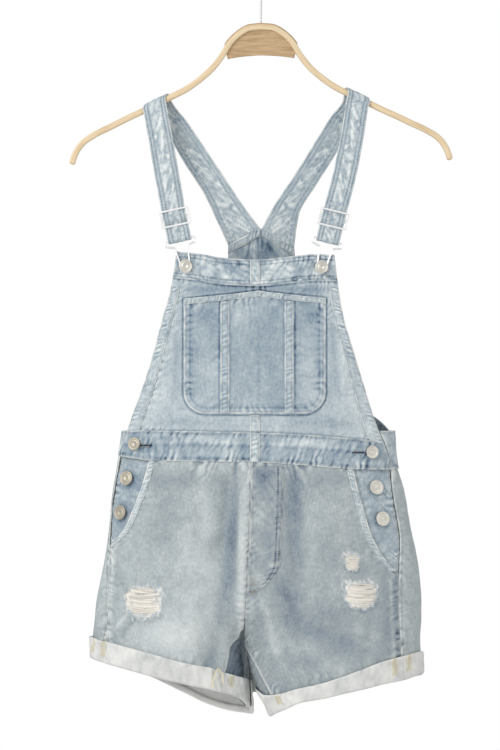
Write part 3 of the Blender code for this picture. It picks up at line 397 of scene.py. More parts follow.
def running(points, axis):
    """Lengths run along the rows (axis 1) or columns (axis 0) of a net, in millimetres."""
    steps = np.linalg.norm(np.diff(points, axis=axis), axis=2)
    start = np.zeros_like(np.take(steps, [0], axis=axis))
    return np.concatenate((start, np.cumsum(steps, axis=axis)), axis=axis)


def activate(piece):
    bpy.ops.object.select_all(action="DESELECT")
    piece.select_set(True)
    bpy.context.view_layer.objects.active = piece


def apply_modifier(piece, kind, **settings):
    activate(piece)
    added = piece.modifiers.new(kind.lower(), kind)
    for key, value in settings.items():
        setattr(added, key, value)
    bpy.ops.object.modifier_apply(modifier=added.name)


def unroll(mesh, flat):
    """Gives each point of a mesh its place on the flat cloth or board, for its finish."""
    corner = np.empty(len(mesh.loops), int)
    mesh.loops.foreach_get("vertex_index", corner)
    mesh.uv_layers[0].data.foreach_set("uv", flat[corner].reshape(-1).astype(np.float32))


def cloth_grid(name, points, outward, here, thick, finishes):
    """Blender's grid moved to a net of points, painted, and given its thickness."""
    rows, columns = points.shape[0] - 1, points.shape[1] - 1
    bpy.ops.mesh.primitive_grid_add(x_subdivisions=columns, y_subdivisions=rows, size=1)
    piece = bpy.context.object
    piece.name = piece.data.name = name
    mesh = piece.data
    mesh.vertices.foreach_set("co", (points[::-1] * MM).reshape(-1).astype(np.float32))
    for key in ("fade", "worn", "weft"):
        paint = mesh.attributes.new(key, "FLOAT", "POINT")
        paint.data.foreach_set("value", getattr(here, key)[::-1].reshape(-1).astype(np.float32))
    unroll(mesh, np.stack((here.weave_u[::-1], -here.weave_v[::-1]), axis=-1).reshape(-1, 2) * MM)
    mesh.update()
    face = mesh.polygons[len(mesh.polygons) // 2]
    nearest = outward[::-1].reshape(-1, 3)[face.vertices[0]]
    if face.normal.dot(Vector(nearest)) < 0:
        mesh.flip_normals()
    for finish in finishes:
        mesh.materials.append(finish)
    activate(piece)
    bpy.ops.object.shade_smooth()
    apply_modifier(
        piece, "SOLIDIFY", thickness=thick * MM, offset=-1,
        material_offset=len(finishes) - 1, material_offset_rim=0,
    )
    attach(piece, "root")
    return piece


laid = {}  # what each finished piece of cloth knows about itself
seams = []  # rows of stitches still to be sewn: piece, edge, and how far in


def stitch_groove(here, away, shade):
    """The narrow groove that a taut row of stitches pulls into the cloth, darkened with painted shade."""
    dent = bell(away, 0.9)
    here.height -= 0.3 * dent
    here.fade -= shade * dent


def lay(name, points, normal, looks, finishes, thick, sewn=(), grain=None):
    """Shapes and paints a net of cloth, makes it, and keeps it for the stitches.

    The grain is the share across at which the warp hangs straight down."""
    u, v = running(points, 1), running(points, 0)
    straight = None if grain is None else u[:, [round(grain * (u.shape[1] - 1))]]
    here = SimpleNamespace(
        left=u, right=u[:, -1:] - u, top=v, bottom=v[-1:] - v, u=u, v=v,
        x=points[..., 0], drop=-points[..., 2],
        weave_u=u if grain is None else u - straight, weave_v=v if grain is None else -points[..., 2],
        height=np.zeros(u.shape), fade=np.full(u.shape, 0.5),
        worn=np.zeros(u.shape), weft=np.zeros(u.shape),
    )
    for look in looks:
        look(here)
    for edge, inset in sewn:
        stitch_groove(here, getattr(here, edge) - inset, 0.1)
        seams.append((name, edge, inset))
    shaped = points + normal * here.height[..., None]
    piece = cloth_grid(name, shaped, normal, here, thick, finishes)
    down, along = np.diff(points, axis=0)[:, :-1], np.diff(points, axis=1)[:-1]
    area = np.linalg.norm(np.cross(down, along), axis=-1).sum()
    laid[name] = SimpleNamespace(points=shaped, normal=normal, piece=piece, here=here, area=area)
    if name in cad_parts:
        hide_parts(name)
    return piece


def panel(name, sheet, place, lift, looks, finishes, sewn=(), step=1.6, thick=0.9, inwards=False, grain=None):
    """A piece of cloth that lies on a sheet, replacing the CAD node of its name.

    Place turns shares across and down the piece into shares across the sheet and drops, and step
    is the width of a square of its grid."""

    def laid_out(columns, rows):
        across, drop, *more = place(*spread(columns, rows))
        return sheets[sheet].at(across, drop, lift + sum(more))

    rough, _ = laid_out(12, 12)
    columns = max(2, round(running(rough, 1)[:, -1].max() / step))
    rows = max(2, round(running(rough, 0)[-1].max() / step))
    points, normal = laid_out(columns, rows)
    return lay(name, points, -normal if inwards else normal, looks, finishes, thick, sewn, grain)


def between(top, bottom, start=0.0, end=1.0):
    """Place of a piece between two edges, each a drop or a function of the share across."""

    def place(a, d):
        share = mix(start, end, a)
        upper = top(share) if callable(top) else top
        lower = bottom(share) if callable(bottom) else bottom
        return share, mix(upper, lower, d)

    return place


def strip(sheet, sides, ends):
    """Place of an upright strip between two x and two drops."""

    def place(a, d):
        drop = mix(ends[0], ends[1], d)
        return sheets[sheet].across_of(mix(sides[0], sides[1], a), drop), drop

    return place

# %% [markdown]
# ## Denim
# Denim is a twill: blue warp threads over white weft. Washing bleaches the warp, so light denim is
# mostly a matter of how faded each spot is. One ramp of colours runs from raw indigo to nearly
# white, and the painted fade picks the place on it; the same value also carries painted shade and
# painted light. Fine streaks along warp and weft break it up. The streaks and the twill are a node
# group, so every denim piece shares them.

# %% Nodes
def feed(tree, target, inputs):
    """Sets the inputs of a node, as values or as links."""
    for key, value in inputs.items():
        if isinstance(value, bpy.types.NodeSocket):
            tree.links.new(value, target.inputs[key])
        else:
            target.inputs[key].default_value = value


def node(tree, kind, inputs=None, **settings):
    """Adds a node, with its settings and its inputs."""
    made = tree.nodes.new(kind)
    for key, value in settings.items():
        setattr(made, key, value)
    feed(tree, made, inputs or {})
    return made


def maths(tree, operation, *values):
    return node(tree, "ShaderNodeMath", dict(enumerate(values)), operation=operation).outputs[0]


def stretched(tree, place, scale):
    return node(tree, "ShaderNodeVectorMath", {0: place, 1: scale}, operation="MULTIPLY").outputs[0]


def grainy(tree, place, scale, detail, distortion=0.0):
    """The values of a noise texture."""
    inputs = {"Vector": place, "Scale": scale, "Detail": detail, "Distortion": distortion}
    return node(tree, "ShaderNodeTexNoise", inputs).outputs["Fac"]


def blend(tree, share, first, second):
    """A mix of two colours."""
    return node(tree, "ShaderNodeMix", {0: share, 6: first, 7: second}, data_type="RGBA").outputs[2]


def ramp(tree, value, stops):
    """A ramp of colours, from pairs of a place and a colour."""
    made = node(tree, "ShaderNodeValToRGB", {"Fac": value})
    elements = made.color_ramp.elements
    while len(elements) < len(stops):
        elements.new(0.5)
    for element, (at, colour) in zip(elements, stops):
        element.position, element.color = at, (*colour, 1)
    return made.outputs["Color"]


def relief(tree, height, strength, distance):
    """A fine relief that only the light sees."""
    inputs = {"Height": height, "Strength": strength, "Distance": distance}
    return node(tree, "ShaderNodeBump", inputs).outputs[0]


def new_finish(name, record_slot=None):
    """A new finish with the slot of the record that it belongs to, its node tree and its shader."""
    finish = bpy.data.materials.new(name)
    finish.use_nodes = True
    if record_slot:
        finish["record_slot"] = record_slot
    return finish, finish.node_tree, finish.node_tree.nodes["Principled BSDF"]


# %% The weave
def weave_group():
    """Streaks of warp and weft and the twill's slant, from coordinates in millimetres."""
    group = bpy.data.node_groups.new("denim weave", "ShaderNodeTree")
    group.interface.new_socket("Place", in_out="INPUT", socket_type="NodeSocketVector")
    for key in ("Streak", "Height"):
        group.interface.new_socket(key, in_out="OUTPUT", socket_type="NodeSocketFloat")
    place = group.nodes.new("NodeGroupInput").outputs["Place"]
    made = group.nodes.new("NodeGroupOutput")
    warp = grainy(group, stretched(group, place, (0.62, 0.06, 1)), 1.0, 3.0)
    weft = grainy(group, stretched(group, place, (0.09, 0.62, 1)), 1.0, 2.0)
    mottle = grainy(group, stretched(group, place, (0.3, 0.24, 1)), 1.0, 5.0)
    both = maths(group, "ADD", maths(group, "MULTIPLY", warp, 0.3), maths(group, "MULTIPLY", weft, 0.12))
    both = maths(group, "ADD", both, maths(group, "MULTIPLY", mottle, 0.58))
    slant = node(group, "ShaderNodeMapping", {"Vector": place, "Rotation": (0, 0, math.radians(28))})
    lines = {"Vector": slant.outputs[0], "Scale": 0.42, "Distortion": 0.6, "Detail": 1.0}
    twill = maths(group, "MULTIPLY", node(group, "ShaderNodeTexWave", lines).outputs["Fac"], 0.12)
    threads = maths(group, "ADD", twill, maths(group, "MULTIPLY", warp, 0.5))
    feed(group, made, {"Streak": maths(group, "SUBTRACT", both, 0.5), "Height": threads})
    return group


weave = weave_group()

# %% [markdown]
# ## Finishes of denim
# The outside is faded blue. Hems and laps are the same cloth, paler because their edges rub. The
# inside shows the white weft, with only grey hints of blue.

# %% Denim materials
WASH = (
    (0.00, (0.035, 0.060, 0.095)),
    (0.15, (0.125, 0.180, 0.245)),
    (0.32, (0.250, 0.320, 0.385)),
    (0.48, (0.350, 0.415, 0.455)),
    (0.64, (0.475, 0.540, 0.570)),
    (0.80, (0.610, 0.660, 0.670)),
    (1.00, (0.790, 0.810, 0.790)),
)
THIGH = (
    (0.00, (0.045, 0.065, 0.095)),
    (0.15, (0.140, 0.180, 0.235)),
    (0.32, (0.255, 0.302, 0.343)),
    (0.48, (0.355, 0.398, 0.412)),
    (0.64, (0.490, 0.535, 0.545)),
    (0.80, (0.625, 0.660, 0.655)),
    (1.00, (0.800, 0.810, 0.780)),
)
INSIDE = (
    (0.00, (0.130, 0.150, 0.170)),
    (0.30, (0.380, 0.400, 0.410)),
    (0.60, (0.600, 0.610, 0.600)),
    (1.00, (0.790, 0.790, 0.760)),
)
WORN_WHITE, RAW_WEFT = (0.82, 0.825, 0.79, 1), (0.88, 0.85, 0.79, 1)


def denim(name, record_slot, colours, contrast):
    """A denim finish that reads the painted fade, worn and weft values."""
    finish, tree, shader = new_finish(name, record_slot)
    cloth_map = node(tree, "ShaderNodeUVMap", uv_map="UVMap").outputs[0]
    in_mm = stretched(tree, cloth_map, (1000, 1000, 1000))
    woven = node(tree, "ShaderNodeGroup", node_tree=weave)
    feed(tree, woven, {"Place": in_mm})
    fade, worn, weft = (
        node(tree, "ShaderNodeAttribute", attribute_name=key).outputs["Fac"]
        for key in ("fade", "worn", "weft")
    )
    washed = ramp(tree, maths(tree, "MULTIPLY_ADD", woven.outputs["Streak"], contrast, fade), colours)
    rubbed = blend(tree, worn, washed, WORN_WHITE)
    feed(tree, shader, {
        "Base Color": blend(tree, weft, rubbed, RAW_WEFT),
        "Roughness": 0.92,
        "Specular IOR Level": 0.15,
        "Normal": relief(tree, woven.outputs["Height"], 0.25, 0.0004),
    })
    return finish


blue = denim("washed denim", "denim_blue", WASH, 0.75)
thigh = denim("washed denim of the legs", "denim_blue", THIGH, 0.6)
pale = denim("washed denim hem", "denim_pale", WASH, 0.8)
inner = denim("denim wrong side", "denim_inside", INSIDE, 0.6)
print("denim finishes:", blue.name, pale.name, inner.name)

# %% [markdown]
# ## What washing does to a seam
# Denim shrinks in the wash, but sewing thread doesn't, so every seam draws up into small puckers.
# Their crests rub pale and their narrow valleys stay blue. Cut and folded edges wear through to
# white. Each of these is a small function that adds its share to a piece, so a piece's look is a
# list of them.

# %% Shade and puckers
def along_of(here, edge):
    return here.top if edge in ("left", "right") else here.left


def uneven(middle, swing, low, high, *noise):
    """A strength that noise varies about its middle, between two bounds."""
    return np.clip(middle + swing * soft_noise(*noise), low, high)


def crests(turn):
    """Broad crests with narrow valleys between them, one for each half turn."""
    return 2 * np.abs(np.cos(turn)) ** 0.8 - 1.15


def emboss(here, high, tone, wave, near):
    """Raises and pales the crests of a wave, and sinks and darkens its valleys."""
    here.height += high * wave * near
    here.fade += tone * wave * near


def wash(base, seed, blotch=0.06):
    """The panel's own shade, with large, middle and small blotches."""

    def look(here):
        here.fade[:] = base
        for size, share in ((62, 0.9), (19, 0.7), (6, 1.0)):
            here.fade += blotch * share * soft_noise(here.x, here.drop, size, size * 1.3, seed + size)
        here.height += 0.2 * soft_noise(here.x, here.drop, 15, 19, seed + 3)
        here.height += 0.1 * soft_noise(here.x, here.drop, 5, 6, seed + 4)

    return look


def puckers(edge, inset=0.0, reach=8.0, pitch=8.0, high=0.6, tone=0.24, slant=0.0, seed=1):
    """Puckers along a row of stitches that runs inset from one edge of the piece."""

    def look(here):
        away, along = np.abs(getattr(here, edge) - inset), along_of(here, edge)
        broad = soft_noise(along, away, 2.7 * pitch, 40, seed)
        fine = soft_noise(along, away, 0.9 * pitch, 7, seed + 1)
        drift = pitch * (1.1 * broad + 0.35 * fine)
        strong = uneven(0.5, 0.9, 0.05, 1.3, along, away, 1.7 * pitch, 30, seed + 2)
        long = reach * (0.85 + 0.6 * soft_noise(along, away * 0, 1.3 * pitch, 1, seed + 3))
        wave = crests(math.pi * (along + drift + slant * away) / pitch)
        emboss(here, high, tone, wave, strong * np.exp(-((away / np.maximum(long, 1.0)) ** 1.5)))

    return look


def crumple(size, high, tone, turn=0.0, longer=2.0, clear=0.0, seed=1):
    """Small crushed creases in no order, longer one way, that stay clear of the sides."""

    def look(here):
        angle = math.radians(turn)
        p = here.u * math.cos(angle) + here.v * math.sin(angle)
        q = here.v * math.cos(angle) - here.u * math.sin(angle)
        fine = soft_noise(p, q, size * 0.6 * longer, size * 0.45, seed + 1)
        rough = soft_noise(p, q, size * longer, size, seed) + 0.5 * fine
        side = np.minimum(here.left, here.right)
        inside = ease((side - clear) / 3.0) if clear else 1.0
        emboss(here, high, tone, 1.8 * np.abs(rough) ** 0.8 - 0.75, inside)

    return look


# %% Edges
def rim(*edges, white=0.55, wide=1.5, turn=0.7, seed=5):
    """Folded or cut edges that roll down and wear to white."""

    def look(here):
        for edge in edges:
            away, along = getattr(here, edge), along_of(here, edge)
            rubbed = uneven(0.6, 0.8, 0.05, 1.3, along, away * 0, 6, 30, seed)
            here.worn += white * rubbed * bell(away, wide)
            here.height -= turn * bell(away, 0.9)

    return look


def shadow_beside(distance, deep=0.3, wide=1.8):
    """Painted contact shadow: darker, bluer cloth along a line, close beside the edge of a piece that lies on
    it.
    """

    def look(here):
        here.fade -= deep * bell(distance(here), wide)

    return look


# %% Marks of stitches
def shaded_stitch_dashes(edge, inset, deep=0.3, pitch=3.4, high=0.35, wide=1.6, seed=9):
    """The dashes that a taut row of stitches pulls into the cloth beside it, darkened with painted shadow."""

    def look(here):
        away, along = getattr(here, edge) - inset, along_of(here, edge)
        drift = 0.5 * pitch * soft_noise(along, away * 0, 5 * pitch, 9, seed)
        strong = uneven(0.75, 0.4, 0.4, 1.2, along, away * 0, 3 * pitch, 20, seed + 1)
        wave = 0.5 - 0.5 * np.cos(2 * math.pi * (along + drift) / pitch)
        near = strong * bell(away, wide)
        here.height -= high * (0.5 + wave) * near
        here.fade -= deep * (0.35 + wave) * near

    return look


def double_row(*edges, insets=(2.4, 6.2), deep=0.34, seed=205):
    """The marks of two rows of stitches beside each of the edges, with painted shadow in their dashes."""
    rows = [
        shaded_stitch_dashes(edge, inset, deep, 3.0, 0.25, 0.9, seed + round(inset)) for edge in edges for inset in insets
    ]

    def look(here):
        for row in rows:
            row(here)

    return look


def roped(edge, inset, pitch=5.0, tone=0.3, high=0.3, wide=4.0, slant=0.35, seed=7):
    """The rope of uneven light and dark marks that a folded hem twists into."""

    def look(here):
        away, along = getattr(here, edge) - inset, along_of(here, edge)
        broad = soft_noise(along, away * 0, 3.1 * pitch, 6, seed)
        fine = soft_noise(along, away * 0, 0.9 * pitch, 3, seed + 2)
        drift = pitch * (0.8 * broad + 0.25 * fine)
        strong = uneven(0.45, 0.9, 0.05, 1.3, along, away * 0, 1.7 * pitch, 5, seed + 1)
        wave = np.cos(2 * math.pi * (along + drift + slant * away) / pitch)
        emboss(here, high, tone, wave, strong * np.exp(-((away / wide) ** 4)))
        here.fade += 0.1 * soft_noise(here.x, here.drop, 2.6, 2.6, seed + 3)

    return look


# %% Spots, creases and bands
def spots(rows):
    """Soft paler or bluer spots: x, drop, half width, half height, and how much paler."""

    def look(here):
        for x, drop, wide, tall, value in rows:
            inside = np.exp(-(((here.x - x) / wide) ** 2) - ((here.drop - drop) / tall) ** 2)
            here.fade += value * inside

    return look


def ridges(rows, tone):
    """Soft creases of the cloth, with painted highlight on their crests and painted shade in their troughs.
    """

    def look(here):
        risen = ridge_height(here.x, here.drop, rows)
        here.height += risen
        here.fade += tone * risen

    return look


def painted_shade_bands(rows):
    """Soft bands of painted highlight and painted shade: a line of (x, drop) points, half width, and how much
    paler.
    """

    def look(here):
        for line, wide, value in rows:
            off, _ = beside(line, here.x, here.drop)
            here.fade += value * bell(off, wide)

    return look


def beside(line, x, drop):
    """Distance to a line of (x, drop) points, + on its right going down, and the share along it."""
    best, signed, share = np.full(x.shape, 1e9), np.zeros(x.shape), np.zeros(x.shape)
    line = np.array(line, float)
    lengths = run_along(line)
    for start, end, gone in zip(line, line[1:], lengths):
        way = end - start
        long = math.hypot(*way)
        t = np.clip(((x - start[0]) * way[0] + (drop - start[1]) * way[1]) / long**2, 0, 1)
        off_x, off_y = x - start[0] - t * way[0], drop - start[1] - t * way[1]
        off = np.hypot(off_x, off_y)
        side = np.sign(off_x * way[1] - off_y * way[0])
        closer = off < best
        best = np.where(closer, off, best)
        signed = np.where(closer, side * off, signed)
        share = np.where(closer, (gone + t * long) / lengths[-1], share)
    return signed, share


# %% [markdown]
# ## Bib
# The bib is one panel with a lap down its centre, a band along its top and a folded hem down each
# side. The patch pocket on it has a pointed top hem and two strips that part it for pens.

# %% Edges of the cut
BAND_HEAD, BAND_FOOT = 570.0, 600.0  # drops near which the waistband's edges are looked up


def x_of(sheet, share, drop):
    return sheets[sheet].at(share, drop)[0][..., 0]


def band_edge(sheet, key, drop):
    """An edge of the front waistband, as a function of the share across a sheet."""
    return lambda share: curve(WAISTBAND, key, x_of(sheet, share, drop), by="x")


def bib_top(share):
    return curve(BIB_TOP, "drop", x_of("bib", share, 356), by="x")


def bib_foot(share):
    return band_edge("bib", "top", BAND_HEAD)(share) + TUCKED


def back_waist_foot(sheet):
    return lambda share: curve(BACK_WAIST, "bottom", x_of(sheet, share, 604), by="x")


TUCKED = 3.0  # how far a panel runs on under the waistband
LAID = CLOTH + LAID_GAP + OVERLAY  # outer face of what lies on a panel
ON_LAID = LAID + LAID_GAP + OVERLAY  # and of what lies on that

# %% Where the pocket lies
def pocket_top(x):
    """Upper edge of the bib pocket: two nearly straight slopes up to a peak."""
    peak_x, peak_drop = POCKET_PEAK
    out = np.clip(np.abs(x - peak_x) / (POCKET_SIDES[1] - POCKET_SIDES[0]) * 2, 0, 1)
    return mix(peak_drop, POCKET_TOP, out**0.85)


def pocket_bottom(x):
    """Lower edge of the bib pocket, with a quarter circle at each corner."""
    inset = np.clip(POCKET_CORNER - np.minimum(x - POCKET_SIDES[0], POCKET_SIDES[1] - x), 0, POCKET_CORNER)
    return POCKET_BOTTOM - POCKET_CORNER + np.sqrt(np.maximum(0, POCKET_CORNER**2 - inset**2))


def pocket_off(here):
    """Distance in from the pocket's outline, round its corners too; below 0 outside it."""
    side = np.minimum(here.x - POCKET_SIDES[0], POCKET_SIDES[1] - here.x)
    foot, head = POCKET_BOTTOM - here.drop, here.drop - pocket_top(here.x)
    corner_x, corner_y = POCKET_CORNER - side, POCKET_CORNER - foot
    in_corner = (corner_x > 0) & (corner_y > 0)
    inside = np.where(in_corner, POCKET_CORNER - np.hypot(corner_x, corner_y), np.minimum(side, foot))
    return np.where(head < 0, np.minimum(inside, head), inside)


# %% Bib panel, band and hems
BIB_HEM_WIDE = 9.0
# Fades of the bib, with painted shadow under the band and beside the pocket's sides.
BIB_FADES_AND_SHADOWS = (
    (-4, 396, 70, 5, -0.28), (-70, 398, 22, 7, -0.2), (60, 398, 22, 7, -0.2),  # shadowed blue under the band
    (-112, 470, 8, 50, -0.06), (110, 470, 12, 60, 0.1), (-128, 530, 16, 24, 0.02), (120, 540, 16, 24, 0.08),
    (-60, 556, 40, 8, -0.1), (60, 557, 40, 8, -0.08), (-99, 470, 5, 60, -0.12), (84, 480, 5, 60, -0.12),
)
BIB_CREASES = {
    "from": ((-112, 410), (-101, 440), (98, 430), (84, 430), (-80, 552), (70, 552)),
    "to": ((-118, 470), (-104, 540), (100, 520), (96, 545), (-130, 560), (120, 562)),
    "wide": (4.0, 3.4, 4.0, 3.4, 3.4, 3.4),
    "high": (0.9, -0.9, 0.8, -0.9, -0.7, -0.7),
}
panel(
    "bib_panel", "bib", between(bib_top, bib_foot), CLOTH,
    [
        wash(0.62, 10, 0.05), spots(BIB_FADES_AND_SHADOWS), ridges(BIB_CREASES, 0.1),
        # painted contact shadows beside the pocket, under the band, inside the side hems and along the
        # waistband's top edge
        shadow_beside(lambda here: pocket_off(here) + 1.2, 0.5, 1.0),
        shadow_beside(lambda here: here.top - BIB_BAND_TALL - 1.0, 0.4, 1.2),
        shadow_beside(lambda here: np.minimum(here.left, here.right) - BIB_HEM_WIDE, 0.16, 1.8),
        shadow_beside(lambda here: here.bottom - TUCKED, 0.3, 1.8),
        puckers("top", 32, 13, 9, 0.8, 0.2, seed=11),
        puckers("left", 12, 12, 11, 0.6, 0.14, 0.5, seed=12),
        puckers("right", 12, 12, 11, 0.6, 0.14, -0.5, seed=13),
        puckers("bottom", 3, 14, 9, 0.9, 0.24, seed=14),
    ],
    (blue, inner), step=1.6, grain=0.5,
)
BAND_SHADES = (
    (-12, 372, 9, 12, -0.25), (-66, 366, 8, 9, 0.14), (-40, 384, 10, 5, 0.16), (-30, 368, 8, 7, -0.2),
    (22, 370, 9, 8, 0.18), (48, 376, 8, 8, -0.1), (60, 364, 7, 6, -0.14), (-100, 372, 6, 14, -0.15),
    (90, 372, 5, 12, -0.12),
)
HEM_CUT = {"step": 1.2, "thick": 1.1}  # what hems and laps share
panel(
    "bib_top_band", "bib", between(bib_top, lambda share: bib_top(share) + BIB_BAND_TALL), LAID,
    [
        wash(0.58, 20, 0.08), spots(BAND_SHADES),
        crumple(6.5, 0.6, 0.2, 25, 1.7, seed=24),
        double_row("top", "bottom", deep=0.3, seed=25),
        puckers("top", 5, 8, 7.5, 0.6, 0.24, 0.5, seed=21),
        puckers("bottom", 5, 9, 8.5, 0.6, 0.26, -0.5, seed=22),
        rim("top", "left", "right", white=0.6), rim("bottom", white=0.5, turn=1.0),
    ],
    (blue, inner), [("top", 1.8), ("top", 6.4), ("bottom", 1.8), ("bottom", 6.2)], step=1.25, thick=1.1,
)
for side, start in (("left", 0.0), ("right", 1 - BIB_HEM_SHARE)):
    outer, within = ("left", "right") if side == "left" else ("right", "left")
    panel(
        f"bib_side_hem_{side}", "bib", between(BIB_HEM_TOP, bib_foot, start, start + BIB_HEM_SHARE), LAID,
        [
            wash(0.62, 30), roped(outer, 5.0, 5.5, 0.26, 0.35, seed=31),
            rim(outer, white=0.75, wide=1.8), rim(within, white=0.45),
        ],
        (pale, inner), [(outer, 1.8), (within, 1.8)], **HEM_CUT,
    )
for name, drops, lift in (("upper", "band", ON_LAID), ("lower", "bib", LAID)):
    panel(
        f"bib_centre_lap_{name}", "bib", strip("bib", CENTRE_LAP["x"], CENTRE_LAP[drops]), lift,
        [
            wash(0.62, 40), crumple(5, 0.3, 0.16, 60, seed=42),
            roped("right", 5, 6, 0.16, 0.25, seed=41), rim("left", "right"),
        ],
        (pale, inner), [("left", 1.8), ("right", 1.8)], **HEM_CUT,
    )
print("bib pieces:", [name for name in laid if name.startswith("bib")])


# %% Bib pocket
def patch(bottom):
    def place(a, d):
        to_corners = a - 0.03 * np.sin(4 * math.pi * a)  # columns crowd at the round corners
        x = mix(*POCKET_SIDES, to_corners)
        drop = mix(pocket_top(x), bottom(x), d)
        return sheets["bib"].across_of(x, drop), drop

    return place


def pocket_edge(here):
    """The pocket's worn brim, and the puckers that its double row of stitches pulls."""
    brim = pocket_off(here)
    centre_x, centre_drop = sum(POCKET_SIDES) / 2, 478.0
    round_corner = np.arctan2(here.x - centre_x, here.drop - centre_drop) * 78
    along = np.where(here.drop > 520, round_corner, here.drop)
    drift = 6 * soft_noise(along, brim, 21, 15, 57) + 2 * soft_noise(along, brim, 8, 6, 58)
    strong = uneven(0.55, 0.8, 0.1, 1.3, along, brim, 15, 30, 59)
    emboss(here, 0.6, 0.22, crests(math.pi * (along + drift) / 8.5), strong * bell(brim - 6, 8.0))
    # painted shade in a band just inside the inner row of stitches
    here.fade -= 0.1 * bell(brim - 9, 3.0)
    rubbed = uneven(0.75, 0.6, 0.2, 1.2, along, brim * 0, 7, 30, 60)
    here.worn += 0.7 * rubbed * bell(brim, 2.3)
    here.height -= 0.8 * bell(brim, 1.0)
    for inset in (3.0, 7.6):
        stitch_groove(here, brim - inset, 0.14)


# Fades of the pocket, with painted shadow under its hem and beside the edges of the pen strips.
POCKET_FADES_AND_SHADOWS = (
    (-66, 428, 14, 9, -0.16), (62, 428, 12, 9, -0.16), (-62, 500, 16, 34, 0.14), (-30, 430, 9, 12, 0.14),
    (56, 486, 12, 40, 0.06), (-3, 500, 3, 50, -0.1), (-8, 420, 20, 10, 0.06), (12, 470, 12, 40, -0.06),
    (-76, 532, 10, 8, 0.14), (66, 528, 10, 9, 0.16), (-50, 408, 20, 5, -0.14), (46, 408, 20, 5, -0.14),
    # painted shadows beside the pen strips, darker at their outer edges
    (-49.6, 470, 1.4, 90, -0.34), (-36.6, 470, 1.4, 90, -0.16),
    (27.2, 470, 1.4, 90, -0.16), (40.4, 470, 1.4, 90, -0.34),
)
panel(
    "bib_pocket", "bib", patch(pocket_bottom), LAID,
    [
        wash(0.47, 50, 0.06), spots(POCKET_FADES_AND_SHADOWS), pocket_edge,
        puckers("top", 7, 12, 9, 0.6, 0.24, seed=54),
        puckers("left", 46, 6, 12, 0.3, 0.1, seed=55), puckers("right", 36, 6, 12, 0.3, 0.1, seed=56),
    ],
    (blue, inner), step=1.5, thick=1.1, grain=0.5,
)
panel(
    "bib_pocket_hem", "bib", patch(lambda x: pocket_top(x) + POCKET_HEM_TALL), ON_LAID,
    [
        wash(0.6, 60), roped("top", 3.5, 5.0, 0.26, 0.25, 3.5, seed=61),
        rim("top", white=0.7), rim("bottom", "left", "right", white=0.5),
    ],
    (pale, inner), [("bottom", 1.5), ("top", 1.6)], **HEM_CUT,
)
for side, sides in PEN_STRIPS.items():
    first = float(pocket_top(np.array(sum(sides) / 2))) + POCKET_HEM_TALL + 1.0
    panel(
        f"bib_pocket_strip_{side}", "bib", strip("bib", sides, (first, POCKET_BOTTOM - 0.8)),
        ON_LAID - 0.5,
        [wash(0.55, 70), roped("left", 5.5, 6.0, 0.16, 0.2, 5, seed=71), rim("left", "right", white=0.6)],
        (pale, inner), [("left", 2.2), ("right", 2.2)], step=1.2, thick=0.8,
    )

# %% [markdown]
# ## Waistbands
# A waistband is sewn from doubled cloth and takes in the edges of what hangs above and below it.
# Both its seams draw it up, so its whole height is short upright creases. The buttonholes are slits
# painted dark for the shadow inside them, and their threads come later.

# %% Waistbands
# Fades of the waistband, with painted shadow round the buttons and beside the centre lap.
WAIST_FADES_AND_SHADOWS = (
    (-140, 584, 14, 14, -0.14), (-105, 587, 36, 16, -0.12), (-20, 586, 7, 16, -0.2),
    (6, 588, 7, 14, -0.18), (124, 594, 12, 14, -0.16), (-150, 596, 16, 5, -0.14),
    (-70, 575, 24, 4, 0.14), (60, 580, 26, 4, 0.12), (-60, 590, 30, 6, 0.06), (80, 596, 26, 6, -0.1),
)
# Painted shade along the crease across the waistband with painted highlight above it, and the buttonhole
# slits painted dark for the shadow inside them.
WAIST_CREASE_AND_SLIT_SHADE = (
    (((-160, 583), (-60, 583), (20, 585), (130, 592)), 2.2, -0.12),
    (((-160, 579), (-60, 579), (20, 581), (130, 588)), 2.4, 0.08),
    (((-143, 583.6), (-131, 583.6)), 1.1, -0.7),
    (((110, 591.8), (122, 591.8)), 1.1, -0.7),
)
WAIST_LOOK = [
    # stitch dents darkened with painted shadow
    shaded_stitch_dashes("bottom", 4.4, 0.26, seed=85), shaded_stitch_dashes("top", 3.6, 0.2, seed=86),
    crumple(7, 0.55, 0.14, 78, 1.9, seed=84),
    puckers("bottom", 2, 17, 8.5, 0.9, 0.3, 0.2, seed=81),
    puckers("top", 4, 11, 8, 0.6, 0.24, -0.3, seed=82),
    puckers("top", 16, 7, 10, 0.5, 0.18, 0.3, seed=83),
    rim("top", "left", "right", white=0.5), rim("bottom", white=0.6, turn=1.0),
]
panel(
    "waistband_front", "bib",
    between(band_edge("bib", "top", BAND_HEAD), band_edge("bib", "bottom", BAND_FOOT)), BAND_THICK,
    [wash(0.49, 80, 0.06), spots(WAIST_FADES_AND_SHADOWS), *WAIST_LOOK, painted_shade_bands(WAIST_CREASE_AND_SLIT_SHADE)],
    (blue, inner), [("top", 2.0), ("bottom", 2.2)], step=1.3, thick=1.2,
)
panel(
    "waistband_centre_lap", "bib", strip("bib", CENTRE_LAP["x"], CENTRE_LAP["waist"]), ON_LAID,
    [
        wash(0.6, 90), crumple(5, 0.3, 0.16, 60, seed=92),
        roped("left", 6, 6, 0.2, 0.25, 5, seed=91), rim("left", "right"),
    ],
    (pale, inner), [("left", 1.8), ("right", 1.8)], **HEM_CUT,
)
panel(
    "waistband_back", "back_waist", between(BACK_WAIST_TOP, back_waist_foot("back_waist")), BAND_THICK,
    [wash(0.56, 100, 0.06), *WAIST_LOOK],
    (blue, inner), [("top", 2.0), ("bottom", 2.2)], thick=1.2,
)

# %% [markdown]
# ## Legs
# Each leg is a front and a back panel. The thighs are the palest and smoothest stretch, and the
# cloth gathers into folds towards the crotch. The turned-up cuffs show the wrong side of the cloth.

